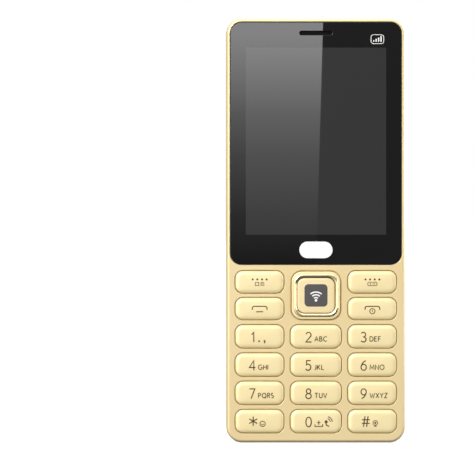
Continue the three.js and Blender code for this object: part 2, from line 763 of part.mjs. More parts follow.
// A plate whose back is a shallow dish, with holes for the two eyes and the sound slots.
function makeCameraIsland() {
  const { x, z, width, height, cornerRadius, front, back, dishDepth, slopeWidth } = island;
  const outline = (drawnIn) => {
    const radius = Math.max(cornerRadius - drawnIn, 1.0);
    return roundedRectangle(width - 2 * drawnIn, height - 2 * drawnIn, radius, 6);
  };
  const slope = [0, 0.2, 0.5, 1].map((part) => {
    return { outline: outline(part * slopeWidth), y: back - dishDepth * (1 - (1 - part) ** 2) };
  });
  const plate = at(loft([{ outline: outline(0), y: front }, ...slope]), x, z);
  const eyeHoles = [camera, flash].map((place) => {
    return at(bar(eye.rimOuter + 0.15, front - 0.1, back + 0.1, 24), place.x, place.z);
  });
  return piece('camera_island', cut(plate, [...eyeHoles, ...grillePlan().map(grilleSlot)]), glossyGold());
}

// A thin polished rim standing up out of the dish.
function makeTrimRing(name, place) {
  const { rimInner, rimOuter, front, back } = eye;
  const ring = turned([
    [rimInner, front],
    [rimOuter, front],
    [rimOuter, back - 0.2],
    [rimOuter - 0.2, back],
    [rimInner, back],
    [rimInner, front],
  ], 24);
  return piece(name, ring, polishedGold(), place.x, place.z);
}

// The black disc inside the rim, stepped down in rings towards its window.
function makeBezel(name, place, windowRadius) {
  const { rimInner, front, bezelBack } = eye;
  const bezel = turned([
    [windowRadius, front],
    [rimInner - 0.1, front],
    [rimInner - 0.1, bezelBack],
    [5.2, bezelBack],
    [4.9, bezelBack - 0.2],
    [windowRadius, bezelBack - 0.4],
    [windowRadius, front],
  ], 24);
  return piece(name, bezel, blackGloss(), place.x, place.z);
}

function makeEyeWindow(name, place, radius) {
  return piece(name, bar(radius - 0.05, 5.9, 6.5, 24), clearGlass(), place.x, place.z);
}

function makeSpeakerMesh() {
  const mesh = bar(grille.radius - 0.2, cover.inner, island.bed - 0.05, 20);
  return piece('speaker_mesh', mesh, darkPlastic(), speaker.x, speaker.z);
}

function makeBadge() {
  const { width, height, front, back, x, z } = badge;
  const pill = loft([
    { outline: roundedRectangle(width, height, width * 0.49, 5), y: front },
    { outline: roundedRectangle(width, height, width * 0.49, 5), y: back - 0.2 },
    { outline: roundedRectangle(width - 0.5, height - 0.5, width * 0.49 - 0.25, 5), y: back },
  ]);
  return piece('badge', pill, steel(), x, z);
}

// ---------------------------------------------------------------------------------------------------------
// Assembly
// ---------------------------------------------------------------------------------------------------------

function piece(name, geometry, material, x = 0, z = 0, y = 0) {
  const mesh = new THREE.Mesh(geometry, material);
  mesh.name = name;
  mesh.position.set(x, y, z);
  return mesh;
}

function group(...meshes) {
  const parts = new THREE.Group();
  parts.add(...meshes);
  return parts;
}

const frontHalf = group(
  makeFrontHousing(),
  makeDisplayWindow(),
  makeLcdPanel(),
  makeLcdFrame(),
  makeEarpiece(),
  makeEarpieceMesh(),
);

const keypad = group(
  ...keyPlan().map(makeKey),
  makeNavRing(),
  makeNavRocker(),
  makeOkKey(),
  makeKeypadMat(),
  makeDomeSheet(),
);

const electronics = group(
  makeMainBoard(),
  makeMicrophone(),
  makeUsbPort(),
  makeAudioJack(),
  makeVibrationMotor(),
  makeLoudspeaker(),
  makeCameraModule(),
  makeFlashLed(),
  makeBatteryConnector(),
  ...cards.map(makeCardHolder),
  ...cards.map(makeCard),
);

const rearHalf = group(
  makeRearHousing(),
  ...screwPlan().map(makeScrew),
  makeAntenna(),
  makeBattery(),
);

const rearCover = group(
  makeBackCover(),
  makeCameraIsland(),
  makeTrimRing('camera_ring', camera),
  makeBezel('camera_bezel', camera, 3.3),
  makeEyeWindow('camera_window', camera, 3.3),
  makeTrimRing('flash_ring', flash),
  makeBezel('flash_bezel', flash, 2.6),
  makeEyeWindow('flash_window', flash, 2.6),
  makeSpeakerMesh(),
  makeBadge(),
);

const phone = group(frontHalf, keypad, electronics, rearHalf, rearCover);

export default phone;
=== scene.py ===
"""A gold bar-shaped keypad phone: the looks of every piece, its lights and its camera.

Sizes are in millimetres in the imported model's own frame: X to the right as seen from the front, Y from the
front to the back, Z up from the bottom edge. MM turns them into metres when a mesh is made.
"""

import math
from collections import namedtuple

import bmesh
import bpy
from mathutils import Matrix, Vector


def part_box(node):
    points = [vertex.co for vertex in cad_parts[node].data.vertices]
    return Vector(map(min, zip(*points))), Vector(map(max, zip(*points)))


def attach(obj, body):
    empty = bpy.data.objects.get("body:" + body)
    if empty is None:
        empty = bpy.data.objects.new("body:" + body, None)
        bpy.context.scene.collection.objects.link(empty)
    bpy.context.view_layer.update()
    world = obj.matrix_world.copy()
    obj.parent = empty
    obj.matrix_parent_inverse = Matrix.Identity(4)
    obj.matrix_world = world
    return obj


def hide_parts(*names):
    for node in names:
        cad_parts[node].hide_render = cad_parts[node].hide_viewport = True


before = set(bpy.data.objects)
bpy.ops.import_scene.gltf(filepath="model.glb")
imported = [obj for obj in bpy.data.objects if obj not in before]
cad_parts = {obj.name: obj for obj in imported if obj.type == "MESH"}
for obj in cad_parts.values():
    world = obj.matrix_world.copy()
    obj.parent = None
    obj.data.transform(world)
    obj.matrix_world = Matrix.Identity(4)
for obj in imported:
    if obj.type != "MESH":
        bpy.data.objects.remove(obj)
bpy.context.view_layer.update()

MM = 0.001
SHARP = math.radians(38)

# ---- Driving sizes ----

Place = namedtuple("Place", "x z width height front back")


def place_of(node):
    """Where a CAD node is, in millimetres."""
    low, high = (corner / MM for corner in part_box(node))
    middle = (low + high) / 2
    return Place(middle.x, middle.z, high.x - low.x, high.z - low.z, low.y, high.y)


front_box = place_of("front_housing")
cover_box = place_of("back_cover")
window_box = place_of("display_window")
island_box = place_of("camera_island")

BODY_CORNER = 5.2
BODY_EDGE = (1.15, 2.4)
BODY_WALL = 1.3
# The front housing's wall ends here, a little before the cover's edge. Only its screw bosses go further.
SEAM_FRONT = -1.0
SEAM_CHAMFER = 0.14
BOSS_RADIUS = {"upper": 1.9, "lower": 1.4}
PILOT_RADIUS = 0.75
INSIDE_WIDTH = front_box.width - 2 * BODY_WALL
INSIDE_HEIGHT = front_box.height - 2 * BODY_WALL
INSIDE_CORNER = BODY_CORNER - BODY_WALL

WINDOW_CORNER = 3.8
WINDOW_GAP = 0.1
SHELF_FRONT = -5.25
SHELF_BACK = -4.4
KEY_PLATE_BACK = -4.9
KEY_PLATE_TOP = 57.2

KEY_CORNER = 2.5
KEY_GAP = 0.2
KEY_FLANGE = 0.5
KEY_FLANGE_FRONT = -4.6
KEY_FLANGE_BACK = -4.2
KEY_ROUND = 1.6
KEY_RISE = 0.75
KEY_CROWN = 0.13
KEY_FOOT = (6.0, 3.0, 0.5)

RING_FLANGE = 0.7
RING_GAP = 0.3
RING_CORNER = 3.4
RING_HOLE = (12.65, 11.8, 2.6)
RING_FLANGE_FRONT = -4.4
# The ring's section from its hole to its outside, as (share of the width, height above the shoulder): a
# polished bead, and a low step round it.
RING_SHOULDER = 0.62
RING_BEAD = [
    (0.0, 0.0),
    (0.02, 0.28),
    (0.1, 0.42),
    (0.21, 0.55),
    (0.31, 0.62),
    (0.41, 0.56),
    (0.53, 0.42),
    (0.62, 0.24),
    (0.63, 0.0),
]
RING_STEP = [(0.55, 0.19), (0.86, 0.19), (0.95, 0.14), (1.0, 0.03)]
OK_CORNER = 2.35
OK_ROUND = 0.7
OK_RISE = 0.22
OK_CROWN = 0.06
OK_FOOT = (4.0, 4.0, 0.5)

SCREEN = Place(0.0, 98.3, 45.7, 60.9, 0.0, 0.0)
LCD_GAP = 0.3
EARPIECE_SLOT = (10.7, 1.33)
SOUND_OPENING = (12.0, 2.4, 0.8)
SIGNAL_PLACE = (20.0, 131.5)
PILL_SIZE = (10.8, 5.4)
PILL_Z = 62.9

COVER_INNER = 5.2
CONTACT_PLACES = (-3.6, -1.2, 1.2, 3.6)
ISLAND_BED = 5.5
ISLAND_CORNER = 8.0
ISLAND_GAP = 0.08
ISLAND_CHAMFER = 0.06
DISH_DEPTH = 0.55
DISH_SLOPE = 11.5
EYE_HOLE = 6.0
EYE_CLEARANCE = 7.4
TRIM_WIDTH = 0.42
FUNNEL_RADIUS = 4.7
CAMERA_RADIUS = 3.0
FLASH_RADIUS = 2.15
GRILLE_RADIUS = 6.8
GRILLE_SLOT = 1.08
GRILLE_ROW = 2.27

# Openings in the shells: charging socket and microphone in the bottom edge, headphone jack in the top edge.
SOCKET_WIDTH = 8.6
JACK_RADIUS = 2.0
MICROPHONE_RADIUS = 0.5

SCREW_SIDES = ("upper_left", "upper_right", "lower_left", "lower_right")

INK = 0.02

# ---- Outlines and meshes ----


def rounded_outline(width, height, radius, steps):
    """A rounded rectangle about the origin as (x, z) points, anticlockwise as seen from the front."""
    points = []
    for side_x, side_z, start in ((1, -1, -90), (1, 1, 0), (-1, 1, 90), (-1, -1, 180)):
        for step in range(steps + 1):
            angle = math.radians(start + 90 * step / steps)
            x = side_x * (width / 2 - radius) + radius * math.cos(angle)
            z = side_z * (height / 2 - radius) + radius * math.sin(angle)
            points.append((x, z))
    return points


def circle(radius, steps=64):
    return [
        (radius * math.cos(math.tau * i / steps), radius * math.sin(math.tau * i / steps))
        for i in range(steps)
    ]


def ring(outline, y, x=0.0, z=0.0):
    """An outline as points in space at the depth y, moved by x and z."""
    return [(x + across, y, z + up) for across, up in outline]


def edge_curve(inward, deep, steps):
    """A quarter ellipse from the face back, as (how far the outline is drawn in, depth behind the face)."""
    pairs = []
    for step in range(steps + 1):
        angle = math.pi / 2 * step / steps
        pairs.append((inward * (1 - math.sin(angle)), deep * (1 - math.cos(angle))))
    return pairs


def edge_round(radius, steps=6):
    """A quarter circle, in the same form."""
    return edge_curve(radius, radius, steps)


def new_object(name, mesh):
    made = bpy.data.objects.new(name, mesh)
    bpy.context.scene.collection.objects.link(made)
    return made


def mesh_object(name, points, faces):
    """A mesh object from points in millimetres, with its faces pointing out."""
    mesh = bpy.data.meshes.new(name)
    mesh.from_pydata([Vector(point) * MM for point in points], [], faces)
    shell = bmesh.new()
    shell.from_mesh(mesh)
    bmesh.ops.remove_doubles(shell, verts=shell.verts, dist=1e-7)
    bmesh.ops.recalc_face_normals(shell, faces=shell.faces)
    shell.to_mesh(mesh)
    shell.free()
    return new_object(name, mesh)


def loft(name, rings):
    """A closed solid through a row of rings that have the same number of points."""
    count = len(rings[0])
    points = [point for one in rings for point in one]
    faces = [tuple(range(count)), tuple(reversed(range(len(points) - count, len(points))))]
    for start in range(0, len(points) - count, count):
        for i in range(count):
            j = (i + 1) % count
            faces.append((start + i, start + count + i, start + count + j, start + j))
    return mesh_object(name, points, faces)


def hoop(name, rings):
    """A closed solid round a hole, through rings that go once round its section or once round the hole."""
    count = len(rings[0])
    points = [point for one in rings for point in one]
    faces = []
    for level in range(len(rings)):
        a = level * count
        b = ((level + 1) % len(rings)) * count
        for i in range(count):
            j = (i + 1) % count
            faces.append((a + i, b + i, b + j, a + j))
    return mesh_object(name, points, faces)


def turned(name, profile, x, z, steps=72):
    """A ring-shaped solid turned about a line along Y, from a closed profile of (radius, y) points."""
    sections = []
    for i in range(steps):
        angle = math.tau * i / steps
        across = math.cos(angle)
        up = math.sin(angle)
        sections.append([(x + reach * across, y, z + reach * up) for reach, y in profile])
    return hoop(name, sections)


def slab(name, outline, front, back, front_round=0.0, back_round=0.0, x=0.0, z=0.0):
    """A plate with rounded edges. outline(drawn_in) gives its outline drawn in by that much."""
    rings = [ring(outline(drawn), front + depth, x, z) for drawn, depth in edge_round(front_round)]
    rings += [
        ring(outline(drawn), back - depth, x, z)
        for drawn, depth in reversed(edge_round(back_round))
    ]
    return loft(name, rings)


def rounded(width, height, radius, steps=10):
    """The outline function of a rounded rectangle, for slab()."""
    smallest = min(radius, 0.05)

    def outline(drawn_in):
        corner = max(radius - drawn_in, smallest)
        return rounded_outline(width - 2 * drawn_in, height - 2 * drawn_in, corner, steps)

    return outline


def disc(radius, steps=64):
    """The outline function of a circle, for slab()."""
    return lambda drawn_in: circle(radius - drawn_in, steps)


def joined(name, pieces):
    """Several mesh objects as one."""
    whole = bmesh.new()
    for piece in pieces:
        whole.from_mesh(piece.data)
    mesh = bpy.data.meshes.new(name)
    whole.to_mesh(mesh)
    whole.free()
    for piece in pieces:
        bpy.data.objects.remove(piece)
    return new_object(name, mesh)


def combine(piece, tool, operation):
    """Joins tool to piece or cuts it out of piece, and uses it up."""
    change = piece.modifiers.new(operation, "BOOLEAN")
    change.operation = operation
    change.solver = "EXACT"
    change.object = tool
    depsgraph = bpy.context.evaluated_depsgraph_get()
    mesh = bpy.data.meshes.new_from_object(piece.evaluated_get(depsgraph))
    piece.modifiers.clear()
    piece.data = mesh
    bpy.data.objects.remove(tool)


def cut(piece, *tools):
    """Takes a group of tools out of piece. Tools in one call don't touch each other."""
    combine(piece, joined("tool", list(tools)), "DIFFERENCE")


def upright_bore(radius, x, y, bottom, top):
    """A round tool that stands along Z, a little wider at both ends."""
    wide = radius + 0.1
    lower = [(wide, bottom - 0.5), (wide, bottom), (radius, bottom + 0.1)]
    upper = [(radius, top - 0.1), (wide, top), (wide, top + 0.5)]
    rings = []
    for reach, z in lower + upper:
        rings.append([(x + across, y + deep, z) for across, deep in circle(reach, 24)])
    return loft("bore", rings)


def flared(outline, face, bottom, lip, x, z):
    """A tool for an opening through a face towards the front, with a soft lip of the given radius."""
    rings = [ring(outline(-lip), face - 1.0, x, z)]
    rings += [ring(outline(depth - lip), face + lip - drawn, x, z) for drawn, depth in edge_round(lip, 4)]
    rings.append(ring(outline(0), bottom, x, z))
    return loft("opening", rings)


# ---- Finishing a piece ----


def smooth(piece):
    """Smooth shading with true edges kept sharp and flat faces kept flat."""
    piece.data.shade_smooth()
    piece.data.set_sharp_from_angle(angle=SHARP)
    weighted = piece.modifiers.new("weighted", "WEIGHTED_NORMAL")
    weighted.keep_sharp = True


def finished(piece, material, body, slot, *nodes):
    """Gives a piece its shading and material and sets it on its body, in place of the CAD nodes named."""
    piece.data.materials.clear()
    piece.data.materials.append(material)
    smooth(piece)
    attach(piece, body)
    if nodes:
        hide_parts(*nodes)


# ---- Materials ----


def shade(red, green, blue):
    """A colour as seen on a screen, 0 to 255, as linear values."""
    linear = [
        value / 12.92 if value <= 0.04045 else ((value + 0.055) / 1.055) ** 2.4
        for value in (red / 255, green / 255, blue / 255)
    ]
    return (*linear, 1.0)


# The length of one wave of a wave texture of scale 1.
WAVE_LENGTH = 0.314
BLACK = (0, 0, 0, 1)
DUST = (0.006, 0.006, 0.007, 1)


def grey(level):
    return (level, level, level, 1)


def mixed(colour, other, share):
    return tuple(a + (b - a) * share for a, b in zip(colour, other))


def add_ramp(nodes, links, source, stops):
    """The colour output of a new ramp that follows source through (position, colour) stops."""
    ramp = nodes.new("ShaderNodeValToRGB")
    elements = ramp.color_ramp.elements
    while len(elements) < len(stops):
        elements.new(0.5)
    for element, (position, colour) in zip(elements, stops):
        element.position = position
        element.color = colour
    links.new(source, ramp.inputs["Fac"])
    return ramp.outputs["Color"]


def add_math(nodes, links, operation, *values):
    """The output of a new math node. Each value is a number or another node's output."""
    node = nodes.new("ShaderNodeMath")
    node.operation = operation
    for socket, value in zip(node.inputs, values):
        if isinstance(value, (int, float)):
            socket.default_value = value
        else:
            links.new(value, socket)
    return node.outputs[0]


class Finish:
    """A Principled material that is built up by noise, ramps and bump on object coordinates."""

    def __init__(self, name, roughness, metallic=0.0, coat=0.0, coat_roughness=0.05):
        self.material = bpy.data.materials.new(name)
        self.material.use_nodes = True
        self.nodes = self.material.node_tree.nodes
        self.links = self.material.node_tree.links
        self.shader = self.nodes["Principled BSDF"]
        self.shader.inputs["Roughness"].default_value = roughness
        self.shader.inputs["Metallic"].default_value = metallic
        self.shader.inputs["Coat Weight"].default_value = coat
        self.shader.inputs["Coat Roughness"].default_value = coat_roughness
        self.place = self.nodes.new("ShaderNodeTexCoord").outputs["Object"]

    def noise(self, scale, detail=2.0, stretch=(1, 1, 1)):
        """Noise with the given number of waves per millimetre."""
        mapping = self.nodes.new("ShaderNodeMapping")
        mapping.inputs["Scale"].default_value = stretch
        self.links.new(self.place, mapping.inputs["Vector"])
        noise = self.nodes.new("ShaderNodeTexNoise")
        noise.inputs["Scale"].default_value = scale / MM
        noise.inputs["Detail"].default_value = detail
        self.links.new(mapping.outputs["Vector"], noise.inputs["Vector"])
        return noise.outputs["Fac"]

    def cells(self, scale):
        """Distance from the middle of each cell, with the given number of cells per millimetre."""
        cells = self.nodes.new("ShaderNodeTexVoronoi")
        cells.inputs["Scale"].default_value = scale / MM
        self.links.new(self.place, cells.inputs["Vector"])
        return cells.outputs["Distance"]

    def ramp(self, source, *stops):
        """A colour or value that follows source through (position, colour) stops."""
        return add_ramp(self.nodes, self.links, source, stops)

    def spread(self, source, low, high):
        """source from 0 to 1 turned into a value from low to high."""
        spread = self.nodes.new("ShaderNodeMapRange")
        spread.inputs["To Min"].default_value = low
        spread.inputs["To Max"].default_value = high
        self.links.new(source, spread.inputs["Value"])
        return spread.outputs["Result"]

    def math(self, operation, *values):
        return add_math(self.nodes, self.links, operation, *values)

    def distance(self, axis, place):
        """How far a point is from a place along an axis, in metres."""
        split = self.nodes.new("ShaderNodeSeparateXYZ")
        self.links.new(self.place, split.inputs["Vector"])
        return self.math("ABSOLUTE", self.math("SUBTRACT", split.outputs[axis], place * MM))

    def colour(self, output):
        self.links.new(output, self.shader.inputs["Base Color"])

    def roughness(self, output):
        self.links.new(output, self.shader.inputs["Roughness"])

    def bump(self, height, distance, strength=1.0):
        """Relief of the given depth in millimetres."""
        bump = self.nodes.new("ShaderNodeBump")
        bump.inputs["Strength"].default_value = strength
        bump.inputs["Distance"].default_value = distance * MM
        self.links.new(height, bump.inputs["Height"])
        self.links.new(bump.outputs["Normal"], self.shader.inputs["Normal"])


def lacquer(name, colour, deep, roughness, metallic, coat=0.3, coat_ior=1.5):
    """Gold paint: fine flakes under clear lacquer, with a slow drift of colour and gloss."""
    finish = Finish(name, roughness, metallic, coat, 0.015)
    finish.shader.inputs["Coat IOR"].default_value = coat_ior
    drift = finish.noise(0.03)
    finish.colour(finish.ramp(drift, (0.3, mixed(colour, deep, 0.35)), (0.7, colour)))
    flakes = finish.noise(9.0, 1.0)
    finish.roughness(finish.spread(flakes, roughness - 0.06, roughness + 0.06))
    finish.bump(flakes, 0.002, 0.35)
    return finish.material


def polished(name, colour, roughness, metallic=1.0):
    """Bright plating with faint wiping marks."""
    finish = Finish(name, roughness, metallic, 1.0 - metallic)
    marks = finish.noise(1.5, 4.0, (1, 1, 0.2))
    finish.colour(finish.ramp(marks, (0.35, mixed(colour, BLACK, 0.08)), (0.65, colour)))
    finish.roughness(finish.spread(marks, roughness * 0.7, roughness * 1.4))
    finish.bump(marks, 0.003, 0.2)
    return finish.material


def moulded(name, colour, roughness, grain=2.5, depth=0.012):
    """Moulded plastic or rubber with a fine grain."""
    finish = Finish(name, roughness)
    grain_noise = finish.noise(grain, 3.0)
    finish.colour(finish.ramp(grain_noise, (0.3, mixed(colour, BLACK, 0.18)), (0.7, colour)))
    finish.roughness(finish.spread(grain_noise, roughness - 0.06, min(1.0, roughness + 0.08)))
    finish.bump(grain_noise, depth, 0.6)
    return finish.material


def metal(name, colour, roughness):
    """Rolled sheet metal."""
    finish = Finish(name, roughness, 1.0)
    rolled = finish.noise(1.2, 5.0, (1, 1, 0.06))
    finish.colour(finish.ramp(rolled, (0.3, mixed(colour, BLACK, 0.2)), (0.7, colour)))
    finish.roughness(finish.spread(rolled, roughness * 0.7, roughness * 1.4))
    finish.bump(rolled, 0.004, 0.4)
    return finish.material


def circuit(name, colour, trace):
    """A printed circuit board: lacquer over a maze of slightly lighter copper traces."""
    finish = Finish(name, 0.35, 0.0, 0.5)
    maze = finish.nodes.new("ShaderNodeTexBrick")
    maze.inputs["Scale"].default_value = 1.0 / MM
    maze.inputs["Mortar Size"].default_value = 0.12
    maze.inputs["Brick Width"].default_value = 3.2
    maze.inputs["Row Height"].default_value = 0.9
    turned_place = finish.nodes.new("ShaderNodeMapping")
    turned_place.inputs["Rotation"].default_value = (math.pi / 2, 0, 0)
    finish.links.new(finish.place, turned_place.inputs["Vector"])
    finish.links.new(turned_place.outputs["Vector"], maze.inputs["Vector"])
    finish.colour(finish.ramp(maze.outputs["Fac"], (0.2, colour), (0.8, trace)))
    finish.bump(maze.outputs["Fac"], 0.01, 0.5)
    return finish.material


def gloss_black(name, colour, roughness, mirror):
    """Deep gloss with a trace of dust and smears in its reflection."""
    finish = Finish(name, roughness)
    finish.shader.inputs["Specular IOR Level"].default_value = mirror
    smear = finish.noise(0.12, 4.0)
    finish.colour(finish.ramp(smear, (0.3, colour), (0.7, mixed(colour, DUST, 0.5))))
    finish.roughness(finish.spread(smear, roughness * 0.6, roughness * 1.6))
    return finish.material


def window_glass():
    """Black-backed glass. The display shows through it as a slightly lighter grey rectangle."""
    finish = Finish("window_glass", 0.03)
    finish.shader.inputs["IOR"].default_value = 1.5
    within = [
        finish.math("LESS_THAN", finish.distance(axis, middle), size / 2 * MM)
        for axis, middle, size in (("X", SCREEN.x, SCREEN.width), ("Z", SCREEN.z, SCREEN.height))
    ]
    border = shade(25, 25, 26)
    screen = shade(50, 50, 51)
    finish.colour(finish.ramp(finish.math("MULTIPLY", *within), (0.0, border), (1.0, screen)))
    smear = finish.noise(0.05, 3.0)
    finish.roughness(finish.spread(smear, 0.004, 0.016))
    return finish.material


def dimpled(name, colour, dark):
    """A pale lens with a close pattern of dimples, and painted shade that greys each dimple towards its
    edge.
    """
    finish = Finish(name, 0.2)
    dimples = finish.cells(1.5)
    # Painted shade: the colour greys from each dimple's middle to its edge, in the creases between dimples.
    finish.colour(finish.ramp(dimples, (0.1, colour), (0.65, dark)))
    finish.bump(dimples, 0.05, 0.6)
    return finish.material


def woven(name, colour, pitch):
    """Fine wire mesh: two crossed waves that leave dark holes between the wires."""
    finish = Finish(name, 0.55, 0.9)
    heights = []
    for axis in ("X", "Z"):
        wave = finish.nodes.new("ShaderNodeTexWave")
        wave.bands_direction = axis
        wave.inputs["Scale"].default_value = WAVE_LENGTH / (pitch * MM)
        finish.links.new(finish.place, wave.inputs["Vector"])
        heights.append(wave.outputs["Fac"])
    height = finish.math("MAXIMUM", *heights)
    finish.colour(finish.ramp(height, (0.35, grey(0.002)), (0.8, colour)))
    finish.bump(height, 0.05)
    return finish.material


def ink(name, colour, roughness=0.55):
    """Printed ink, slightly uneven."""
    finish = Finish(name, roughness)
    mottle = finish.noise(3.0, 3.0)
    finish.colour(finish.ramp(mottle, (0.3, mixed(colour, BLACK, 0.12)), (0.7, colour)))
    finish.bump(mottle, 0.003, 0.3)
    return finish.material


GOLD = shade(240, 219, 168)
GOLD_DEEP = shade(226, 198, 138)
KEY_GOLD = shade(247, 229, 177)
KEY_GOLD_DEEP = shade(238, 214, 155)

gold_body = lacquer("gold_body", GOLD, GOLD_DEEP, 0.38, 0.25)
gold_back = lacquer("gold_back", GOLD, GOLD_DEEP, 0.42, 0.25, 1.0, 1.8)
keycap_gold = lacquer("keycap_gold", KEY_GOLD, KEY_GOLD_DEEP, 0.42, 0.2, 0.1)
ok_gold = lacquer("ok_gold", shade(250, 232, 184), shade(244, 218, 164), 0.3, 0.2)
island_gold = lacquer("island_gold", shade(236, 214, 164), shade(224, 198, 144), 0.22, 0.8, 1.0)
ring_gold = polished("ring_gold", shade(250, 230, 180), 0.1, 0.85)
trim_gold = polished("trim_gold", shade(252, 236, 200), 0.08, 0.7)
chrome = polished("chrome", shade(240, 238, 232), 0.2)
glass_black = window_glass()
bezel_black = gloss_black("bezel_black", shade(4, 4, 6), 0.14, 0.04)
lens_black = gloss_black("lens_black", shade(5, 5, 9), 0.08, 0.12)
funnel_black = gloss_black("funnel_black", shade(6, 6, 10), 0.13, 0.3)
pupil_violet = gloss_black("pupil_violet", shade(20, 16, 44), 0.06, 0.6)
flash_lens = dimpled("flash_lens", shade(246, 246, 242), shade(150, 150, 146))
legend_brown = ink("legend_brown", shade(76, 56, 20))
label_grey = ink("label_grey", shade(84, 80, 80), 0.4)
mark_white = ink("mark_white", shade(246, 246, 244), 0.35)
fine_mesh = woven("fine_mesh", shade(24, 24, 24), 0.22)
black_plastic = moulded("black_plastic", shade(26, 26, 28), 0.45)
rubber_grey = moulded("rubber_grey", shade(180, 174, 158), 0.8)
white_plastic = moulded("white_plastic", shade(232, 230, 222), 0.45)
card_blue = ink("card_blue", shade(70, 104, 150))
board_green = circuit("board_green", shade(22, 84, 52), shade(54, 124, 78))
battery_wrap = moulded("battery_wrap", shade(206, 208, 210), 0.35, 0.8, 0.004)
steel = metal("steel", shade(190, 190, 188), 0.28)
contact_gold = metal("contact_gold", shade(226, 184, 96), 0.22)

# ---- Front housing and window ----


def shell_blank(name, face, seam):
    """A block of the body's outline, from a face with a soft edge to the seam, which has a chamfer."""
    inwards = 1 if seam > face else -1
    outline = rounded(front_box.width, front_box.height, BODY_CORNER, 16)
    stations = [(drawn_in, face + inwards * depth) for drawn_in, depth in edge_curve(*BODY_EDGE, 12)]
    stations += [(0, seam - inwards * SEAM_CHAMFER), (SEAM_CHAMFER, seam)]
    return loft(name, [ring(outline(drawn_in), y, 0, front_box.z) for drawn_in, y in stations])


def key_nodes():
    """The sixteen keys with a flange, without the centre key."""
    return [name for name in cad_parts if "key" in name and name not in ("keypad_mat", "ok_key")]


def key_size(node):
    """Where a key is, with the size of its cap rather than of its flange."""
    box = place_of(node)
    return box._replace(width=box.width - 2 * KEY_FLANGE, height=box.height - 2 * KEY_FLANGE)


def front_openings():
    """Tools for the openings in the front face: the window's recess, the keys and the navigation ring."""
    recess = rounded(window_box.width + 2 * WINDOW_GAP, window_box.height + 2 * WINDOW_GAP, WINDOW_CORNER)
    openings = [flared(recess, front_box.front, SHELF_FRONT, 0.12, 0, window_box.z)]
    for node in key_nodes():
        key = key_size(node)
        outline = rounded(key.width + 2 * KEY_GAP, key.height + 2 * KEY_GAP, KEY_CORNER + KEY_GAP)
        openings.append(flared(outline, front_box.front, KEY_PLATE_BACK + 0.1, 0.14, key.x, key.z))
    nav = place_of("nav_ring")
    grown = 2 * (RING_GAP - RING_FLANGE)
    outline = rounded(nav.width + grown, nav.height + grown, RING_CORNER + RING_GAP)
    openings.append(flared(outline, front_box.front, KEY_PLATE_BACK + 0.1, 0.3, nav.x, nav.z))
    return openings


def add_screw_bosses(housing):
    """The four posts inside the housing that the screws go into."""
    bosses = []
    pilots = []
    for side in SCREW_SIDES:
        screw = place_of(f"screw_{side}")
        boss = disc(BOSS_RADIUS[side.split("_")[0]], 24)
        pilot = disc(PILOT_RADIUS, 24)
        bosses.append(slab("boss", boss, KEY_PLATE_BACK - 0.2, front_box.back, x=screw.x, z=screw.z))
        pilots.append(slab("pilot", pilot, screw.front - 0.2, front_box.back + 1, x=screw.x, z=screw.z))
    combine(housing, joined("bosses", bosses), "UNION")
    cut(housing, *pilots)


def make_front_housing():
    housing = shell_blank("front_shell", front_box.front, SEAM_FRONT)
    cut(housing, *front_openings())

    inside = rounded(INSIDE_WIDTH, INSIDE_HEIGHT, INSIDE_CORNER)
    cut(housing, slab("hollow", inside, SHELF_BACK, SEAM_FRONT + 1, z=front_box.z))
    room_height = KEY_PLATE_TOP - BODY_WALL
    room = rounded(INSIDE_WIDTH, room_height, INSIDE_CORNER)
    cut(housing, slab("key_room", room, KEY_PLATE_BACK, SHELF_BACK + 0.5, z=BODY_WALL + room_height / 2))

    lcd = place_of("lcd_panel")
    opening = rounded(lcd.width + 2 * LCD_GAP, lcd.height + 2 * LCD_GAP, 2 * LCD_GAP)
    sound = rounded(*SOUND_OPENING)
    earpiece = place_of("earpiece_mesh")
    cut(
        housing,
        slab("display_opening", opening, SHELF_FRONT - 0.1, SHELF_BACK + 0.1, z=lcd.z),
        slab("sound_opening", sound, SHELF_FRONT - 0.1, SHELF_BACK + 0.1, z=earpiece.z),
    )
    microphone = place_of("microphone")
    middle_y = (microphone.front + microphone.back) / 2
    cut(housing, upright_bore(MICROPHONE_RADIUS, microphone.x, middle_y, 0, BODY_WALL))
    add_screw_bosses(housing)
    finished(housing, gold_body, "phone_body", "gold_body", "front_housing")


def make_window():
    box = window_box
    outline = rounded(box.width, box.height, WINDOW_CORNER, 14)
    glass = slab("window_glass", outline, box.front, box.back, 0.22, 0.0, 0, box.z)
    width, height = EARPIECE_SLOT
    slot = rounded(width, height, height * 0.49)
    earpiece = place_of("earpiece_mesh")
    cut(glass, flared(slot, box.front, box.back + 0.2, 0.12, 0, earpiece.z))
    finished(glass, glass_black, "phone_body", "window_glass", "display_window")


make_front_housing()
make_window()

# ---- Keys ----


def crown(x, z, size, top, height):
    """The depth of a gently crowned face at x, z from the middle of a key."""
    across = (2 * x / size.width) ** 2
    up = (2 * z / size.height) ** 2
    return top + height * (1 - (1 - across) * (1 - up))


def pillow_rings(size, corner, rounding, rise, height):
    """The crowned face and soft edge of a key, from its middle out, as rings about its own middle."""
    top = size.front
    outline = rounded(size.width, size.height, corner, 8)
    rings = []
    for scale in (0.06, 0.3, 0.55, 0.8):
        points = [(x * scale, z * scale) for x, z in outline(rounding)]
        rings.append([(x, crown(x, z, size, top, height), z) for x, z in points])
    steps = 9
    for step in range(steps + 1):
        share = 1 - (step / steps) ** 1.6
        drop = rise * (1 - math.sqrt(1 - (1 - share) ** 2))
        points = outline(rounding * share)
        rings.append([(x, crown(x, z, size, top, height) + drop, z) for x, z in points])
    return rings


def moved(rings, x, z):
    return [[(px + x, y, pz + z) for px, y, pz in one] for one in rings]


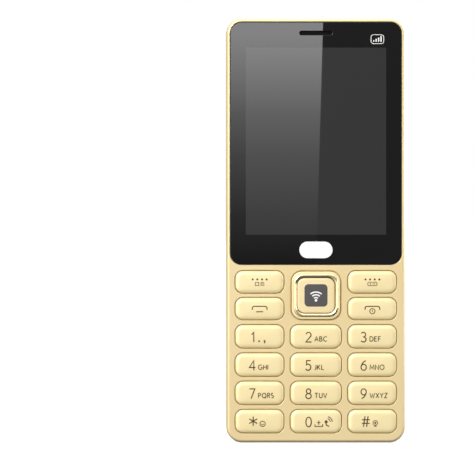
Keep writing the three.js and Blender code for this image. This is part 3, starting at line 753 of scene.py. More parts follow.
def make_key(node):
    """A crowned key cap on its flange, with the foot that presses the mat, as one solid."""
    size = key_size(node)
    outline = rounded(size.width, size.height, KEY_CORNER, 8)
    rings = pillow_rings(size, KEY_CORNER, KEY_ROUND, KEY_RISE, KEY_CROWN)
    foot = rounded(*KEY_FOOT, 8)
    rings.append(ring(outline(0), KEY_FLANGE_FRONT))
    rings.append(ring(outline(-KEY_FLANGE), KEY_FLANGE_FRONT))
    rings.append(ring(outline(-KEY_FLANGE), KEY_FLANGE_BACK))
    rings.append(ring(foot(0), KEY_FLANGE_BACK))
    rings.append(ring(foot(0), size.back))
    key = loft(f"{node}_cap", moved(rings, size.x, size.z))
    finished(key, keycap_gold, node, "keycap", node)


def make_nav_ring():
    """A polished bead with a low satin step round it, on the hidden flange."""
    box = place_of("nav_ring")
    outer = rounded(box.width - 2 * RING_FLANGE, box.height - 2 * RING_FLANGE, RING_CORNER, 12)
    hole = rounded(*RING_HOLE, 12)
    shoulder = box.front + RING_SHOULDER

    def part_way(share, y):
        pairs = zip(hole(0), outer(0))
        points = [(a + (c - a) * share, b + (d - b) * share) for (a, b), (c, d) in pairs]
        return ring(points, y, box.x, box.z)

    def section(stops):
        return [part_way(share, shoulder - height) for share, height in stops]

    bead = [part_way(0.0, box.back), *section(RING_BEAD), part_way(RING_BEAD[-1][0], box.back)]
    finished(hoop("nav_ring_bead", bead), ring_gold, "nav_ring", "polished_gold", "nav_ring")
    step = [part_way(RING_STEP[0][0], box.back), *section(RING_STEP)]
    step.append(ring(outer(0), RING_FLANGE_FRONT, box.x, box.z))
    step.append(ring(outer(-RING_FLANGE), RING_FLANGE_FRONT, box.x, box.z))
    step.append(ring(outer(-RING_FLANGE), box.back, box.x, box.z))
    finished(hoop("nav_ring_step", step), keycap_gold, "nav_ring", "polished_gold")


def make_ok_key():
    """The flat centre key, with the foot that presses the mat."""
    size = place_of("ok_key")
    outline = rounded(size.width, size.height, OK_CORNER, 8)
    foot = rounded(*OK_FOOT, 8)
    rings = pillow_rings(size, OK_CORNER, OK_ROUND, OK_RISE, OK_CROWN)
    rings.append(ring(outline(0), KEY_FLANGE_BACK))
    rings.append(ring(foot(0), KEY_FLANGE_BACK))
    rings.append(ring(foot(0), size.back))
    key = loft("ok_key_cap", moved(rings, size.x, size.z))
    finished(key, ok_gold, "ok_key", "ok_gold", "ok_key")


for node in key_nodes():
    make_key(node)
make_nav_ring()
make_ok_key()

# ---- Printed legends ----

INK_SUNK = 0.03
INK_PITCH = 0.75


def stroke(points, width, closed=False):
    """A line of ink along points (x, z), as a thin closed solid about depth 0."""
    count = len(points)
    verts = []
    for i, point in enumerate(points):
        before = points[i - 1] if closed or i > 0 else point
        after = points[(i + 1) % count] if closed or i < count - 1 else point
        into = Vector((point[0] - before[0], point[1] - before[1]))
        out = Vector((after[0] - point[0], after[1] - point[1]))
        into = (into if into.length else out).normalized()
        out = (out if out.length else into).normalized()
        middle = (into + out).normalized()
        reach = width / 2 / max(middle.dot(out), 0.5)
        side = Vector((-middle.y, middle.x)) * reach
        for sign in (1, -1):
            for depth in (-INK, INK_SUNK):
                verts.append((point[0] + sign * side.x, depth, point[1] + sign * side.y))
    faces = []
    spans = count if closed else count - 1
    for i in range(spans):
        a = 4 * i
        b = 4 * ((i + 1) % count)
        faces += [(a, b, b + 2, a + 2), (a + 1, a + 3, b + 3, b + 1)]
        faces += [(a, a + 1, b + 1, b), (a + 2, b + 2, b + 3, a + 3)]
    if not closed:
        end = 4 * (count - 1)
        faces += [(0, 2, 3, 1), (end, end + 1, end + 3, end + 2)]
    return mesh_object("stroke", verts, faces)


def bow(x, z, wide, high, start, end, steps=14):
    """Points of an oval arc about x, z, from start to end in degrees anticlockwise from the right."""
    points = []
    for step in range(steps + 1):
        angle = math.radians(start + (end - start) * step / steps)
        points.append((x + wide * math.cos(angle), z + high * math.sin(angle)))
    return points


def arc(radius, start, end, x, z, steps=10):
    return bow(x, z, radius, radius, start, end, steps)


def loop(radius, x, z, width):
    points = [(x + a, z + b) for a, b in circle(radius, 20)]
    return stroke(points, width, True)


def patch(outline, x=0.0, z=0.0):
    """A filled shape."""
    return loft("patch", [ring(outline, -INK, x, z), ring(outline, INK_SUNK, x, z)])


def dot(radius, x, z):
    return patch(circle(radius, 20), x, z)


def oval(x, z, wide, high):
    return bow(x, z, wide, high, 0, 360, 20)


def turned_over(paths, width):
    """A character's paths turned upside down."""
    return [[(width - x, 1 - z) for x, z in path] for path in paths]


STEM = [(0, 0), (0, 1)]
SIX = [oval(0.29, 0.31, 0.27, 0.31), [(0.5, 0.99), (0.28, 0.86), (0.11, 0.62), (0.02, 0.34)]]
P_BOWL = [(0, 1), *bow(0.24, 0.74, 0.28, 0.26, 90, -90), (0, 0.48)]
B_UPPER = bow(0.24, 0.76, 0.24, 0.24, 90, -90)
B_LOWER = bow(0.28, 0.26, 0.28, 0.26, 90, -90)

# Each character as the paths of a pen, for a height of 1.
CHARACTERS = {
    "0": [oval(0.3, 0.5, 0.28, 0.5)],
    "1": [[(0, 0.76), (0.22, 1), (0.22, 0)]],
    "2": [[*bow(0.28, 0.72, 0.26, 0.28, 160, -28), (0.02, 0), (0.58, 0)]],
    "3": [[*bow(0.26, 0.76, 0.23, 0.24, 150, -90), *bow(0.26, 0.26, 0.28, 0.26, 90, -150)[1:]]],
    "4": [[(0.46, 0), (0.46, 1), (0, 0.29), (0.62, 0.29)]],
    "5": [[(0.5, 1), (0.1, 1), (0.07, 0.56), *bow(0.24, 0.32, 0.28, 0.32, 110, -150)]],
    "6": SIX,
    "7": [[(0, 1), (0.56, 1), (0.18, 0)]],
    "8": [oval(0.29, 0.76, 0.22, 0.24), oval(0.29, 0.26, 0.28, 0.26)],
    "9": turned_over(SIX, 0.58),
    "A": [[(0, 0), (0.37, 1), (0.74, 0)], [(0.13, 0.34), (0.61, 0.34)]],
    "B": [STEM, [(0, 1), *B_UPPER, (0, 0.52), *B_LOWER, (0, 0)]],
    "C": [bow(0.42, 0.5, 0.42, 0.5, 50, 310)],
    "D": [STEM, [(0, 1), *bow(0.22, 0.5, 0.48, 0.5, 90, -90), (0, 0)]],
    "E": [[(0.5, 1), (0, 1), (0, 0), (0.5, 0)], [(0, 0.52), (0.44, 0.52)]],
    "F": [[(0.5, 1), (0, 1), (0, 0)], [(0, 0.52), (0.44, 0.52)]],
    "G": [[*bow(0.42, 0.5, 0.42, 0.5, 50, 330), (0.8, 0.46), (0.5, 0.46)]],
    "H": [STEM, [(0.64, 0), (0.64, 1)], [(0, 0.52), (0.64, 0.52)]],
    "I": [STEM],
    "J": [[(0.26, 1), (0.26, 0.18), (0.18, 0.03), (0, 0)]],
    "K": [STEM, [(0.56, 1), (0, 0.44)], [(0.15, 0.6), (0.6, 0)]],
    "L": [[(0, 1), (0, 0), (0.48, 0)]],
    "M": [[(0, 0), (0.08, 1), (0.44, 0.22), (0.8, 1), (0.88, 0)]],
    "N": [[(0, 0), (0, 1), (0.68, 0), (0.68, 1)]],
    "O": [oval(0.46, 0.5, 0.46, 0.5)],
    "P": [STEM, P_BOWL],
    "Q": [oval(0.41, 0.5, 0.41, 0.5), [(0.45, 0.16), (0.78, -0.12)]],
    "R": [STEM, P_BOWL, [(0.22, 0.48), (0.54, 0)]],
    "S": [[*bow(0.24, 0.75, 0.21, 0.25, 45, 270), *bow(0.24, 0.25, 0.24, 0.25, 90, -135)[1:]]],
    "T": [[(0, 1), (0.68, 1)], [(0.34, 1), (0.34, 0)]],
    "U": [[(0, 1), *bow(0.31, 0.31, 0.31, 0.31, 180, 360), (0.62, 1)]],
    "V": [[(0, 1), (0.35, 0), (0.7, 1)]],
    "W": [[(0, 1), (0.25, 0), (0.5, 0.82), (0.75, 0), (1, 1)]],
    "X": [[(0, 0), (0.62, 1)], [(0, 1), (0.62, 0)]],
    "Y": [[(0, 1), (0.33, 0.48), (0.66, 1)], [(0.33, 0.48), (0.33, 0)]],
    "Z": [[(0, 1), (0.56, 1), (0, 0), (0.58, 0)]],
}
CHARACTER_GAP = 0.3


def lettering(text, height, left, base, line):
    """Characters of the given height, with their left end and base line at left and base."""
    marks = []
    for character in text:
        paths = CHARACTERS[character]
        for path in paths:
            closed = math.dist(path[0], path[-1]) < 0.001
            points = [(left + x * height, base + z * height) for x, z in path]
            marks.append(stroke(points[:-1] if closed else points, line, closed))
        width = max(x for path in paths for x, _ in path)
        left += (width + CHARACTER_GAP) * height
    return marks


def divided(mesh, reach, pitch):
    """Cuts a mesh along even lines in X and Z, so that it can follow a crowned face."""
    shell = bmesh.new()
    shell.from_mesh(mesh)
    lines = int(reach / pitch)
    for normal in ((1, 0, 0), (0, 0, 1)):
        for line in range(-lines, lines + 1):
            every = shell.verts[:] + shell.edges[:] + shell.faces[:]
            point = Vector(normal) * line * pitch * MM
            bmesh.ops.bisect_plane(shell, geom=every, dist=1e-8, plane_co=point, plane_no=normal)
    shell.to_mesh(mesh)
    shell.free()


def printed(name, marks, surface, x, z, material, body, slot):
    """Lays marks as one piece on a face whose depth at (x, z) from its middle is surface(x, z)."""
    whole = joined(name, marks)
    divided(whole.data, 6.0, INK_PITCH)
    for vertex in whole.data.vertices:
        across, depth, up = vertex.co / MM
        vertex.co = Vector((x + across, surface(across, up) + depth, z + up)) * MM
    finished(whole, material, body, slot)


LINE = 0.36
LETTER_LINE = 0.27
DIGIT_HEIGHT = 3.15
LETTER_HEIGHT = 1.5
BASE_LINE = -1.75
DIGIT_LEFT = -3.35
LETTERS_LEFT = -0.4


def key_face(node):
    size = key_size(node)
    return lambda x, z: crown(x, z, size, size.front, KEY_CROWN)


def print_key(node, marks):
    size = key_size(node)
    printed(f"{node}_legend", marks, key_face(node), size.x, size.z, legend_brown, node, "keycap")


def digit(text, left=DIGIT_LEFT):
    return lettering(text, DIGIT_HEIGHT, left, BASE_LINE, LINE)


def letters(text, left):
    return lettering(text, LETTER_HEIGHT, left, BASE_LINE + 0.25, LETTER_LINE)


NUMBER_LETTERS = {2: "ABC", 3: "DEF", 4: "GHI", 5: "JKL", 6: "MNO", 7: "PQRS", 8: "TUV", 9: "WXYZ"}


def print_number_keys():
    comma = stroke([(1.5, -1.45), (1.75, -1.5), (1.7, -1.85), (1.4, -2.1)], 0.3)
    print_key("key_1", [*digit("1", -2.6), dot(0.27, -0.2, -1.5), dot(0.27, 1.55, -1.4), comma])
    for number, text in NUMBER_LETTERS.items():
        shift = -0.4 if number % 3 == 0 else 0.0
        marks = [*digit(str(number), DIGIT_LEFT + shift), *letters(text, LETTERS_LEFT + shift)]
        print_key(f"key_{number}", marks)


def print_star_key():
    arms = [stroke(arc(1.5, angle, angle + 180, -2.1, 0.1, 1), LINE) for angle in (90, 30, 150)]
    icon = [loop(0.85, 0.95, -0.75, 0.26), stroke(arc(0.4, 200, 340, 0.95, -0.6), 0.22)]
    print_key("key_star", [*arms, *icon])


def print_zero_key():
    space = [(-0.35, -0.9), (-0.35, -1.6), (2.15, -1.6), (2.15, -0.9)]
    pin = [stroke([(0.9, 0.35), (0.9, -1.1)], 0.26), stroke([(0.35, -0.35), (1.45, -0.35)], 0.26)]
    voice = [dot(0.5, 3.3, -0.1), stroke([(3.2, -0.5), (3.4, -1.2), (4.3, -1.6)], 0.34)]
    waves = [stroke(arc(radius, 0, 80, 3.6, -0.1, 6), 0.28) for radius in (1.0, 1.65)]
    print_key("key_0", [*digit("0"), stroke(space, 0.28), *pin, *voice, *waves])


def print_hash_key():
    marks = []
    for shift in (-0.5, 0.5):
        marks.append(stroke([(-2.15 + shift - 0.25, -1.7), (-2.15 + shift + 0.25, 1.7)], LINE))
        marks.append(stroke([(-3.4, shift * 1.15), (-0.9, shift * 1.15)], LINE))
    lamp = [loop(0.75, 0.95, -0.45, 0.24), dot(0.35, 0.95, -0.45), stroke([(0.5, -1.5), (1.4, -1.5)], 0.3)]
    print_key("key_hash", [*marks, *lamp])


def print_soft_keys():
    for node in ("soft_key_left", "soft_key_right"):
        dots = [dot(0.33, 1.5 * i, 0.85) for i in (-1.5, -0.5, 0.5, 1.5)]
        if node.endswith("left"):
            icon = [stroke([(-1.4, -0.1), (-1.4, -1.1), (-0.3, -1.1), (-0.3, -0.1)], 0.2, True)]
            icon += [stroke([(0.2, z), (1.5, z)], 0.2) for z in (-0.15, -0.6, -1.05)]
        else:
            box = [(x, z - 0.6) for x, z in rounded_outline(3.0, 1.1, 0.3, 3)]
            icon = [stroke(box, 0.2, True), dot(0.2, -0.6, -0.6), stroke([(0.1, -0.6), (0.9, -0.6)], 0.2)]
        print_key(node, [*dots, *icon])


def handset():
    """A lying telephone receiver: a flat bar with its two ends turned down."""
    return stroke([(-2.45, -0.35), (-2.3, 0.55), (-1.9, 0.8), (1.9, 0.8), (2.3, 0.55), (2.45, -0.35)], 0.34)


def print_call_keys():
    print_key("call_key", [handset(), stroke([(-1.1, -0.95), (1.1, -0.95)], 0.32)])
    power = [loop(0.85, 0.0, -0.75, 0.26), stroke([(0.0, -0.3), (0.0, -0.95)], 0.24)]
    print_key("end_key", [handset(), *power])


def print_ok_label():
    """A grey rounded square with three white arcs over a dot."""
    size = place_of("ok_key")

    def face(x, z):
        return crown(x, z, size, size.front, OK_CROWN)

    def label_face(x, z):
        return face(x, z) - INK

    plate = patch(rounded_outline(7.5, 7.3, 1.3, 6))
    printed("ok_label", [plate], face, size.x, size.z, label_grey, "ok_key", "ok_gold")
    marks = [stroke(arc(radius, 50, 130, 0.0, -1.7, 12), 0.42) for radius in (1.0, 1.9, 2.8)]
    marks.append(dot(0.42, 0.0, -1.6))
    printed("ok_label_mark", marks, label_face, size.x, size.z, mark_white, "ok_key", "ok_gold")


def print_window_marks():
    """Signal bars in a small frame at the upper right, and a plain pale pill below the display."""

    def flat(x, z):
        return window_box.front

    frame_line = rounded_outline(4.15, 2.9, 0.8, 5)
    bars = [stroke([(-1.2 + 0.8 * i, -0.85), (-1.2 + 0.8 * i, -0.35 + 0.45 * i)], 0.42) for i in range(4)]
    marks = [stroke(frame_line, 0.18, True), *bars]
    printed("signal_mark", marks, flat, *SIGNAL_PLACE, mark_white, "phone_body", "window_glass")
    pill = patch(rounded_outline(*PILL_SIZE, 2.69, 12))
    printed("front_pill", [pill], flat, 0.0, PILL_Z, mark_white, "phone_body", "window_glass")


print_number_keys()
print_star_key()
print_zero_key()
print_hash_key()
print_soft_keys()
print_call_keys()
print_ok_label()
print_window_marks()

# ---- Rear cover, camera island and eyes ----


def make_back_cover():
    cover = shell_blank("rear_shell", cover_box.back, cover_box.front)
    inside = rounded(INSIDE_WIDTH, INSIDE_HEIGHT, INSIDE_CORNER)
    cut(cover, slab("pocket", inside, cover_box.front - 1, COVER_INNER, z=cover_box.z))
    gaps = 2 * ISLAND_GAP
    bed = rounded(island_box.width + gaps, island_box.height + gaps, ISLAND_CORNER + ISLAND_GAP, 14)
    cut(cover, slab("bed", bed, ISLAND_BED, cover_box.back + 1, x=island_box.x, z=island_box.z))
    holes = []
    openings = {"camera_ring": EYE_HOLE, "flash_ring": EYE_HOLE, "speaker_mesh": GRILLE_RADIUS}
    for node, radius in openings.items():
        place = place_of(node)
        holes.append(slab("hole", disc(radius), COVER_INNER - 0.2, ISLAND_BED + 0.2, x=place.x, z=place.z))
    cut(cover, *holes)
    socket = place_of("usb_port")
    mouth = rounded(SOCKET_WIDTH, 2 * BODY_WALL + 0.8, 0.2)
    jack = place_of("audio_jack")
    middle_y = (jack.front + jack.back) / 2
    cut(
        cover,
        slab("socket_mouth", mouth, cover_box.front - 1, socket.back + 0.35, 0.0, 0.5, socket.x, 0.0),
        upright_bore(JACK_RADIUS, jack.x, middle_y, cover_box.height - BODY_WALL, cover_box.height),
    )
    finished(cover, gold_back, "cover", "gold_body", "back_cover")


def grille_plan():
    """The sound slots as (along the row, across the rows, length), before the whole pattern is turned."""
    row = GRILLE_ROW
    short = GRILLE_SLOT * 1.02
    return [
        (0, 2 * row, 6.3),
        (-2.83, row, 4.7),
        (2.83, row, 4.7),
        (-4.46, 0, short),
        (0, 0, 5.3),
        (4.46, 0, short),
        (-2.83, -row, 4.7),
        (2.83, -row, 4.7),
        (0, -2 * row, 6.3),
    ]


def make_grille_tool(along, across, length):
    """A slot tool with a softly flared mouth, turned by 45 degrees and set in the grille."""
    grille = place_of("speaker_mesh")
    outline = rounded(length, GRILLE_SLOT, GRILLE_SLOT * 0.49, 8)
    turn = math.pi / 4
    rings = []
    for grow, y in ((0.0, ISLAND_BED - 0.3), (0.0, 5.7), (0.04, 5.83), (0.14, 6.0), (0.14, 7.0)):
        points = []
        for x, z in outline(-grow):
            x += along
            z += across
            turned_x = x * math.cos(turn) - z * math.sin(turn)
            turned_z = x * math.sin(turn) + z * math.cos(turn)
            points.append((grille.x + turned_x, y, grille.z + turned_z))
        rings.append(points)
    return loft("slot", rings)


def make_island():
    """The glossy plate, dished: its slope is steepest at the rim and dies out towards its middle."""
    box = island_box
    outline = rounded(box.width, box.height, ISLAND_CORNER, 14)
    stations = [(0, box.front), (0, box.back - ISLAND_CHAMFER), (ISLAND_CHAMFER, box.back)]
    steps = 16
    for step in range(1, steps + 1):
        share = step / steps
        drawn_in = ISLAND_CHAMFER + share * DISH_SLOPE
        stations.append((drawn_in, box.back - DISH_DEPTH * (1 - (1 - share) ** 2)))
    rings = [ring(outline(drawn_in), y, box.x, box.z) for drawn_in, y in stations]
    island = loft("camera_dish", rings)
    eyes = [
        slab("eye", disc(EYE_CLEARANCE), box.front - 1, box.back + 1, x=place.x, z=place.z)
        for place in (place_of("camera_ring"), place_of("flash_ring"))
    ]
    cut(island, *eyes)
    cut(island, *[make_grille_tool(*slot) for slot in grille_plan()])
    finished(island, island_gold, "cover", "island_gloss", "camera_island")


def make_trim(node):
    """A bright ring with a half-round top."""
    box = place_of(node)
    outer = box.width / 2
    inner = outer - TRIM_WIDTH
    profile = [(inner, box.front), (outer, box.front)]
    for step in range(9):
        angle = math.pi * step / 8
        middle = (inner + outer) / 2
        half = (outer - inner) / 2
        profile.append((middle + half * math.cos(angle), box.back - half + half * math.sin(angle)))
    trim = turned(f"{node}_trim", profile, box.x, box.z)
    finished(trim, trim_gold, "cover", "polished_gold", node)


def make_bezel(node):
    """The black disc: a flat outer band with a step down at its inner edge."""
    box = place_of(node)
    outer = box.width / 2
    back = box.back
    profile = [
        (FUNNEL_RADIUS, box.front),
        (outer, box.front),
        (outer, back - 0.1),
        (outer - 0.1, back),
        (FUNNEL_RADIUS + 0.5, back),
        (FUNNEL_RADIUS + 0.4, back - 0.06),
        (FUNNEL_RADIUS + 0.3, back - 0.3),
        (FUNNEL_RADIUS, back - 0.34),
    ]
    bezel = turned(f"{node}_disc", profile, box.x, box.z, 96)
    finished(bezel, bezel_black, "cover", "black_gloss", node)


def make_funnel(node, window_radius):
    """The glossy cone inside a bezel, with a raised lip round its window."""
    box = place_of(node)
    outer = FUNNEL_RADIUS - 0.02
    back = box.back
    profile = [
        (window_radius, box.front),
        (outer, box.front),
        (outer, back - 0.36),
        (outer - 0.1, back - 0.4),
        (window_radius + 0.55, back - 0.4 - 0.32 * (outer - window_radius - 0.65)),
        (window_radius + 0.4, back - 0.56),
        (window_radius + 0.22, back - 0.52),
        (window_radius + 0.06, back - 0.58),
        (window_radius, back - 0.74),
    ]
    cone = turned(f"{node}_funnel", profile, box.x, box.z, 96)
    finished(cone, funnel_black, "cover", "black_gloss")


def domed(name, radius, front, edge, height, x, z):
    """A round glass with a straight edge up to the depth edge and a dome of the given height on it."""
    rings = [ring(circle(radius), front, x, z)]
    steps = 10
    for step in range(steps + 1):
        reach = radius * (1 - step / steps) + 0.04
        dome = height * (1 - min(1.0, reach / radius) ** 2)
        rings.append(ring(circle(min(radius, reach)), edge + dome, x, z))
    return loft(name, rings)


def make_camera_lens():
    """The camera's window, with a thin ring and a small bulging lens in its middle."""
    box = place_of("camera_window")
    x = box.x
    z = box.z
    lens = domed("camera_lens", box.width / 2, box.front, box.back - 0.25, 0.1, x, z)
    finished(lens, lens_black, "cover", "lens_glass", "camera_window")
    face = box.back - 0.16
    section = ((1.75, -0.1), (2.0, -0.1), (2.0, 0.12), (1.93, 0.2), (1.75, 0.12))
    rim = turned("camera_lens_ring", [(radius, face + out) for radius, out in section], x, z)
    finished(rim, funnel_black, "cover", "black_gloss")
    pupil = domed("camera_pupil", 1.3, face - 0.1, face, 0.36, x, z)
    finished(pupil, pupil_violet, "cover", "lens_glass")


def make_flash():
    """The flash's domed white window."""
    box = place_of("flash_window")
    lamp = domed("flash_lamp", FLASH_RADIUS - 0.03, box.front, box.back - 0.2, 0.18, box.x, box.z)
    finished(lamp, flash_lens, "cover", "white_plastic", "flash_window")


def make_badge():
    """A chrome pill with a domed face."""
    box = place_of("badge")
    outline = rounded(box.width, box.height, box.width * 0.49, 14)
    rings = [ring(outline(0), box.front, box.x, box.z)]
    steps = 12
    for step in range(steps + 1):
        share = step / steps
        drawn_in = share * box.width * 0.46
        rings.append(ring(outline(drawn_in), box.back - 0.34 * (1 - share) ** 2.4, box.x, box.z))
    pill = loft("badge_pill", rings)
    finished(pill, chrome, "cover", "chrome_badge", "badge")


def make_speaker_mesh():
    """The fine mesh behind the slots of the camera dish."""
    box = place_of("speaker_mesh")
    sheet = slab("grille_sheet", disc(box.width / 2), box.front, box.back, 0.0, 0.08, box.x, box.z)
    finished(sheet, fine_mesh, "cover", "dark_plastic", "speaker_mesh")


make_back_cover()
make_island()
make_trim("camera_ring")
make_trim("flash_ring")
make_bezel("camera_bezel")
make_bezel("flash_bezel")
make_funnel("camera_bezel", CAMERA_RADIUS)
make_funnel("flash_bezel", FLASH_RADIUS)
make_camera_lens()
make_flash()
make_badge()
make_speaker_mesh()

# ---- CAD nodes that keep their own shape ----

BLACK_NODES = (
    "lcd_panel",
    "earpiece",
    "audio_jack",
    "loudspeaker",
    "camera_module",
    "battery_connector",
    "memory_card",
    "rear_housing",
    "battery",
)
METAL_NODES = (
    "lcd_frame",
    "microphone",
    "usb_port",
    "vibration_motor",
    "sim_holder_1",
    "sim_holder_2",
    "memory_card_holder",
    *[f"screw_{side}" for side in SCREW_SIDES],
)
KEPT = (
    (black_plastic, BLACK_NODES),
    (steel, METAL_NODES),
    (white_plastic, ("dome_sheet", "flash_led", "sim_card_1", "sim_card_2")),
    (rubber_grey, ("nav_rocker", "keypad_mat")),
    (fine_mesh, ("earpiece_mesh",)),
    (board_green, ("main_board",)),
    (contact_gold, ("antenna",)),
)
for material, nodes in KEPT:
    for node in nodes:
        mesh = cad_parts[node].data
        mesh.materials.clear()
        mesh.materials.append(material)


def block(name, low, high):
    """A box between two corners, with its four edges along Y slightly rounded."""
    width = high[0] - low[0]
    height = high[2] - low[2]
    outline = rounded(width, height, min(width, height) * 0.15, 3)
    return slab(name, outline, low[1], high[1], x=(low[0] + high[0]) / 2, z=(low[2] + high[2]) / 2)


def make_battery_details():
    """The wrap round the pack, with blank printed bars, and its four contacts."""
    box = place_of("battery")
    outline = rounded(box.width - 3, box.height - 6, 0.8)
    wrap = slab("battery_sleeve", outline, box.back - 0.05, box.back + 0.03, x=box.x, z=box.z - 1)
    finished(wrap, battery_wrap, "battery", "battery_label")
    bars = []
    for up, length in ((18, 22), (14, 30), (10, 26), (-20, 36)):
        low = (-18, box.back + 0.02, box.z + up)
        high = (-18 + length, box.back + 0.05, box.z + up + 1.2)
        bars.append(block("bar", low, high))
    finished(joined("battery_bars", bars), label_grey, "battery", "battery_label")
    top = box.z + box.height / 2
    pads = [block("pad", (x - 0.9, 2.6, top - 0.3), (x + 0.9, 4.0, top + 0.04)) for x in CONTACT_PLACES]
    finished(joined("battery_pads", pads), contact_gold, "battery", "steel")


def make_connector_springs():
    """The springs that reach out of the connector to the battery's contacts."""
    box = place_of("battery_connector")
    bottom = box.z - box.height / 2
    springs = [
        block("spring", (x - 0.4, 2.9, bottom - 0.35), (x + 0.4, 3.4, bottom + 0.5))
        for x in CONTACT_PLACES
    ]
    finished(joined("connector_springs", springs), contact_gold, "phone_body", "steel")


def make_card_prints():
    """A coloured band on each card's visible side."""
    colours = {"sim_card_1": card_blue, "sim_card_2": card_blue, "memory_card": mark_white}
    for node, material in colours.items():
        box = place_of(node)
        low = (box.x - box.width * 0.42, box.back - 0.03, box.z - box.height * 0.36)
        high = (box.x - box.width * 0.05, box.back + 0.02, box.z + box.height * 0.36)
        finished(block(f"{node}_band", low, high), material, node, "card_black")


def make_screw_slots():
    """Painted shade: a flat black cross on each screw head, where the recessed slot would be in shade."""
    for side in SCREW_SIDES:
        box = place_of(f"screw_{side}")
        arms = []
        for across, up in ((0.8, 0.16), (0.16, 0.8)):
            low = (box.x - across, box.back - 0.02, box.z - up)
            high = (box.x + across, box.back + 0.02, box.z + up)
            arms.append(block("arm", low, high))
        # The black cross is painted shade standing in for the slot's recess.
        finished(joined(f"screw_{side}_cross", arms), black_plastic, "phone_body", "steel")


make_battery_details()
make_connector_springs()
make_card_prints()
make_screw_slots()

# ---- Stage, light and camera ----

CAMERA_X = -25.7
CAMERA_Z = 67.1
FRAME_WIDTH = 154.3
LENS = 135.0
SENSOR = 36.0
CAMERA_DISTANCE = FRAME_WIDTH * LENS / SENSOR

LIGHT_SIZE = 460.0
CARD_AWAY = 900.0
# Where the phone is seen from besides the photograph's view: the right and above, behind, and behind left.
SIDE_EYE = (380, -380, 318)
REAR_EYE = (0, 588, cover_box.height / 2)
REAR_SIDE_EYE = (-402, 402, 221)


def make_floor():
    """A wide pale floor that reflections don't see, so that the phone's lower edges stay crisp."""
    size = 30000.0
    corners = [(-size, -size), (size, -size), (size, size), (-size, size)]
    points = [(x, y, -0.05) for x, y in corners]
    floor = mesh_object("floor", points, [(0, 1, 2, 3)])
    finish = Finish("floor_paint", 0.9)
    drift = finish.noise(0.002)
    finish.colour(finish.ramp(drift, (0.0, grey(0.93)), (1.0, grey(0.96))))
    finish.shader.inputs["Emission Color"].default_value = grey(1)
    finish.shader.inputs["Emission Strength"].default_value = 0.55
    floor.data.materials.append(finish.material)
    floor.visible_glossy = False
    floor.visible_diffuse = False


def make_world():
    """White for the camera. Matt surfaces and reflections see a room that is brighter above and to each
    viewer's left, and reflections see it dark behind a viewer in front of the phone or behind it."""
    world = bpy.data.worlds.new("studio")
    bpy.context.scene.world = world
    world.use_nodes = True
    nodes = world.node_tree.nodes
    links = world.node_tree.links
    nodes.clear()
    output = nodes.new("ShaderNodeOutputWorld")
    rays = nodes.new("ShaderNodeLightPath")
    direction = nodes.new("ShaderNodeTexCoord").outputs["Generated"]
    split = nodes.new("ShaderNodeSeparateXYZ")
    links.new(direction, split.inputs["Vector"])

    def math_node(operation, *values):
        return add_math(nodes, links, operation, *values)

    def levels(source, *stops):
        return add_ramp(nodes, links, source, [(position, grey(level)) for position, level in stops])

    side = math_node("MULTIPLY", split.outputs["X"], split.outputs["Y"])
    height = math_node("MULTIPLY", split.outputs["Z"], 0.9)
    tilt = math_node("ADD", height, math_node("MULTIPLY", side, 1.6))
    fade = math_node("ADD", math_node("MULTIPLY", tilt, 0.5), 0.5)
    ahead = math_node("ABSOLUTE", split.outputs["Y"])
    behind_camera = levels(ahead, (0.0, 0.55), (0.5, 1.0), (0.85, 0.85), (0.96, 0.16), (1.0, 0.12))
    reflected = math_node("MULTIPLY", levels(fade, (0.1, 0.1), (0.5, 0.7), (0.9, 2.2)), behind_camera)
    facing = levels(ahead, (0.0, 0.45), (0.6, 1.0))
    lighting = math_node("MULTIPLY", levels(fade, (0.1, 0.2), (0.5, 0.72), (0.9, 1.1)), facing)

    def background(colour=None):
        node = nodes.new("ShaderNodeBackground")
        node.inputs["Color"].default_value = grey(1)
        if colour:
            links.new(colour, node.inputs["Color"])
        return node.outputs["Background"]

    def choose(factor, otherwise, chosen):
        node = nodes.new("ShaderNodeMixShader")
        links.new(factor, node.inputs["Fac"])
        links.new(otherwise, node.inputs[1])
        links.new(chosen, node.inputs[2])
        return node.outputs["Shader"]

    room = choose(rays.outputs["Is Glossy Ray"], background(lighting), background(reflected))
    links.new(choose(rays.outputs["Is Camera Ray"], room, background()), output.inputs["Surface"])


def make_softbox(name, where, width, power):
    """A soft light at a point, facing the middle of the phone."""
    light = bpy.data.lights.new(name, "AREA")
    light.shape = "RECTANGLE"
    light.size = width * MM
    light.size_y = LIGHT_SIZE * MM
    light.energy = power
    lamp = new_object(name, light)
    lamp.location = Vector(where) * MM
    aim = (Vector((0, 0, 70)) - Vector(where)).normalized()
    lamp.rotation_mode = "QUATERNION"
    lamp.rotation_quaternion = aim.to_track_quat("-Z", "Y")


def make_lights():
    make_softbox("key_light", (-560, -760, 580), LIGHT_SIZE, 9.1)
    make_softbox("side_light", (820, -240, 160), 300, 1.9)
    make_softbox("rear_key", (560, 760, 300), LIGHT_SIZE, 6.2)


def card_light(name, low, high, strength, stops):
    """Light that follows the height from low to high through (position, level) stops."""
    material = bpy.data.materials.new(name)
    material.use_nodes = True
    nodes = material.node_tree.nodes
    links = material.node_tree.links
    nodes.clear()
    split = nodes.new("ShaderNodeSeparateXYZ")
    links.new(nodes.new("ShaderNodeTexCoord").outputs["Object"], split.inputs["Vector"])
    height = nodes.new("ShaderNodeMapRange")
    height.inputs["From Min"].default_value = low * MM
    height.inputs["From Max"].default_value = high * MM
    links.new(split.outputs["Z"], height.inputs["Value"])
    level_stops = [(position, grey(level)) for position, level in stops]
    colour = add_ramp(nodes, links, height.outputs["Result"], level_stops)
    glow = nodes.new("ShaderNodeEmission")
    glow.inputs["Strength"].default_value = strength
    links.new(colour, glow.inputs["Color"])
    output = nodes.new("ShaderNodeOutputMaterial")
    links.new(glow.outputs["Emission"], output.inputs["Surface"])
    return material


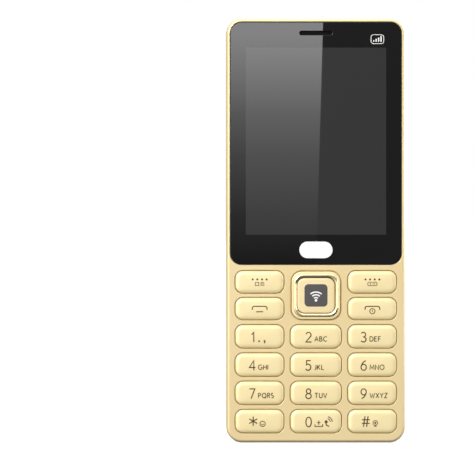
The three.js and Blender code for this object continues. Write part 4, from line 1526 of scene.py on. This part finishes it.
def make_card(name, corners, strength, *stops):
    """A lit card that only reflections see, through its lower left, lower right, upper right and upper left
    corners."""
    card = mesh_object(name, corners, [(0, 1, 2, 3)])
    heights = [corner[2] for corner in corners]
    card.data.materials.append(card_light(name, min(heights), max(heights), strength, stops))
    card.visible_camera = False
    card.visible_diffuse = False
    card.visible_shadow = False


def mirrored(eye, x, y, z):
    """Where a card has to be for the eye to see it at x, y, z in a mirror that faces along Y."""
    ratio = CARD_AWAY / abs(eye[1] - y)
    side = 1 if eye[1] > y else -1
    return (x + (x - eye[0]) * ratio, y + side * CARD_AWAY, z + (z - eye[2]) * ratio)


def make_window_cards():
    """Cards whose slanted edges draw a line down the window, in the photograph's view and from the side."""
    top = window_box.z + window_box.height / 2
    bottom = window_box.z - window_box.height / 2
    front = window_box.front
    eye = (CAMERA_X, front - CAMERA_DISTANCE, CAMERA_Z)
    places = [(-window_box.width, bottom), (0.1, bottom), (2.3, top), (-window_box.width, top)]
    corners = [mirrored(eye, x, front, z) for x, z in places]
    make_card("window_card", corners, 5.4, (0.0, 0.0), (0.2, 0.06), (0.45, 0.2), (0.62, 0.38), (0.95, 1.0))
    places = [(-60, bottom), (-6, bottom), (10, top), (-60, top)]
    corners = [mirrored(SIDE_EYE, x, front, z) for x, z in places]
    make_card("side_card", corners, 2.4, (0.0, 0.05), (0.5, 0.4), (1.0, 1.0))


def make_rear_cards():
    """Cards that do the same for the rear cover. The first goes on upwards, to light the dish's slopes."""
    back = cover_box.back
    height = cover_box.height
    edge_bottom = mirrored(REAR_EYE, 2.7, back, 0)
    edge_top = mirrored(REAR_EYE, -4.8, back, height)
    away = edge_top[1]
    corners = [(420, away, edge_bottom[2]), edge_bottom, edge_top, (420, away, edge_top[2])]
    make_card("rear_card", corners, 1.35, (0.0, 0.6), (0.42, 0.6), (0.8, 1.0))
    corners = [(420, away, edge_top[2]), edge_top, (-180, away, 640), (420, away, 640)]
    make_card("rear_card_top", corners, 1.35, (0.0, 1.0), (1.0, 0.5))
    places = [(60, 0), (-4, 0), (6, height), (60, height)]
    corners = [mirrored(REAR_SIDE_EYE, x, back, z) for x, z in places]
    make_card("rear_side_card", corners, 0.5, (0.0, 0.7), (1.0, 1.0))


def make_camera():
    data = bpy.data.cameras.new("camera")
    data.lens = LENS
    data.sensor_width = SENSOR
    data.clip_start = 0.01
    data.clip_end = 100
    camera = new_object("camera", data)
    camera.location = Vector((CAMERA_X, front_box.front - CAMERA_DISTANCE, CAMERA_Z)) * MM
    camera.rotation_euler = (math.pi / 2, 0, 0)
    bpy.context.scene.camera = camera


make_floor()
make_world()
make_lights()
make_window_cards()
make_rear_cards()
make_camera()
bpy.context.scene.view_settings.view_transform = "Standard"
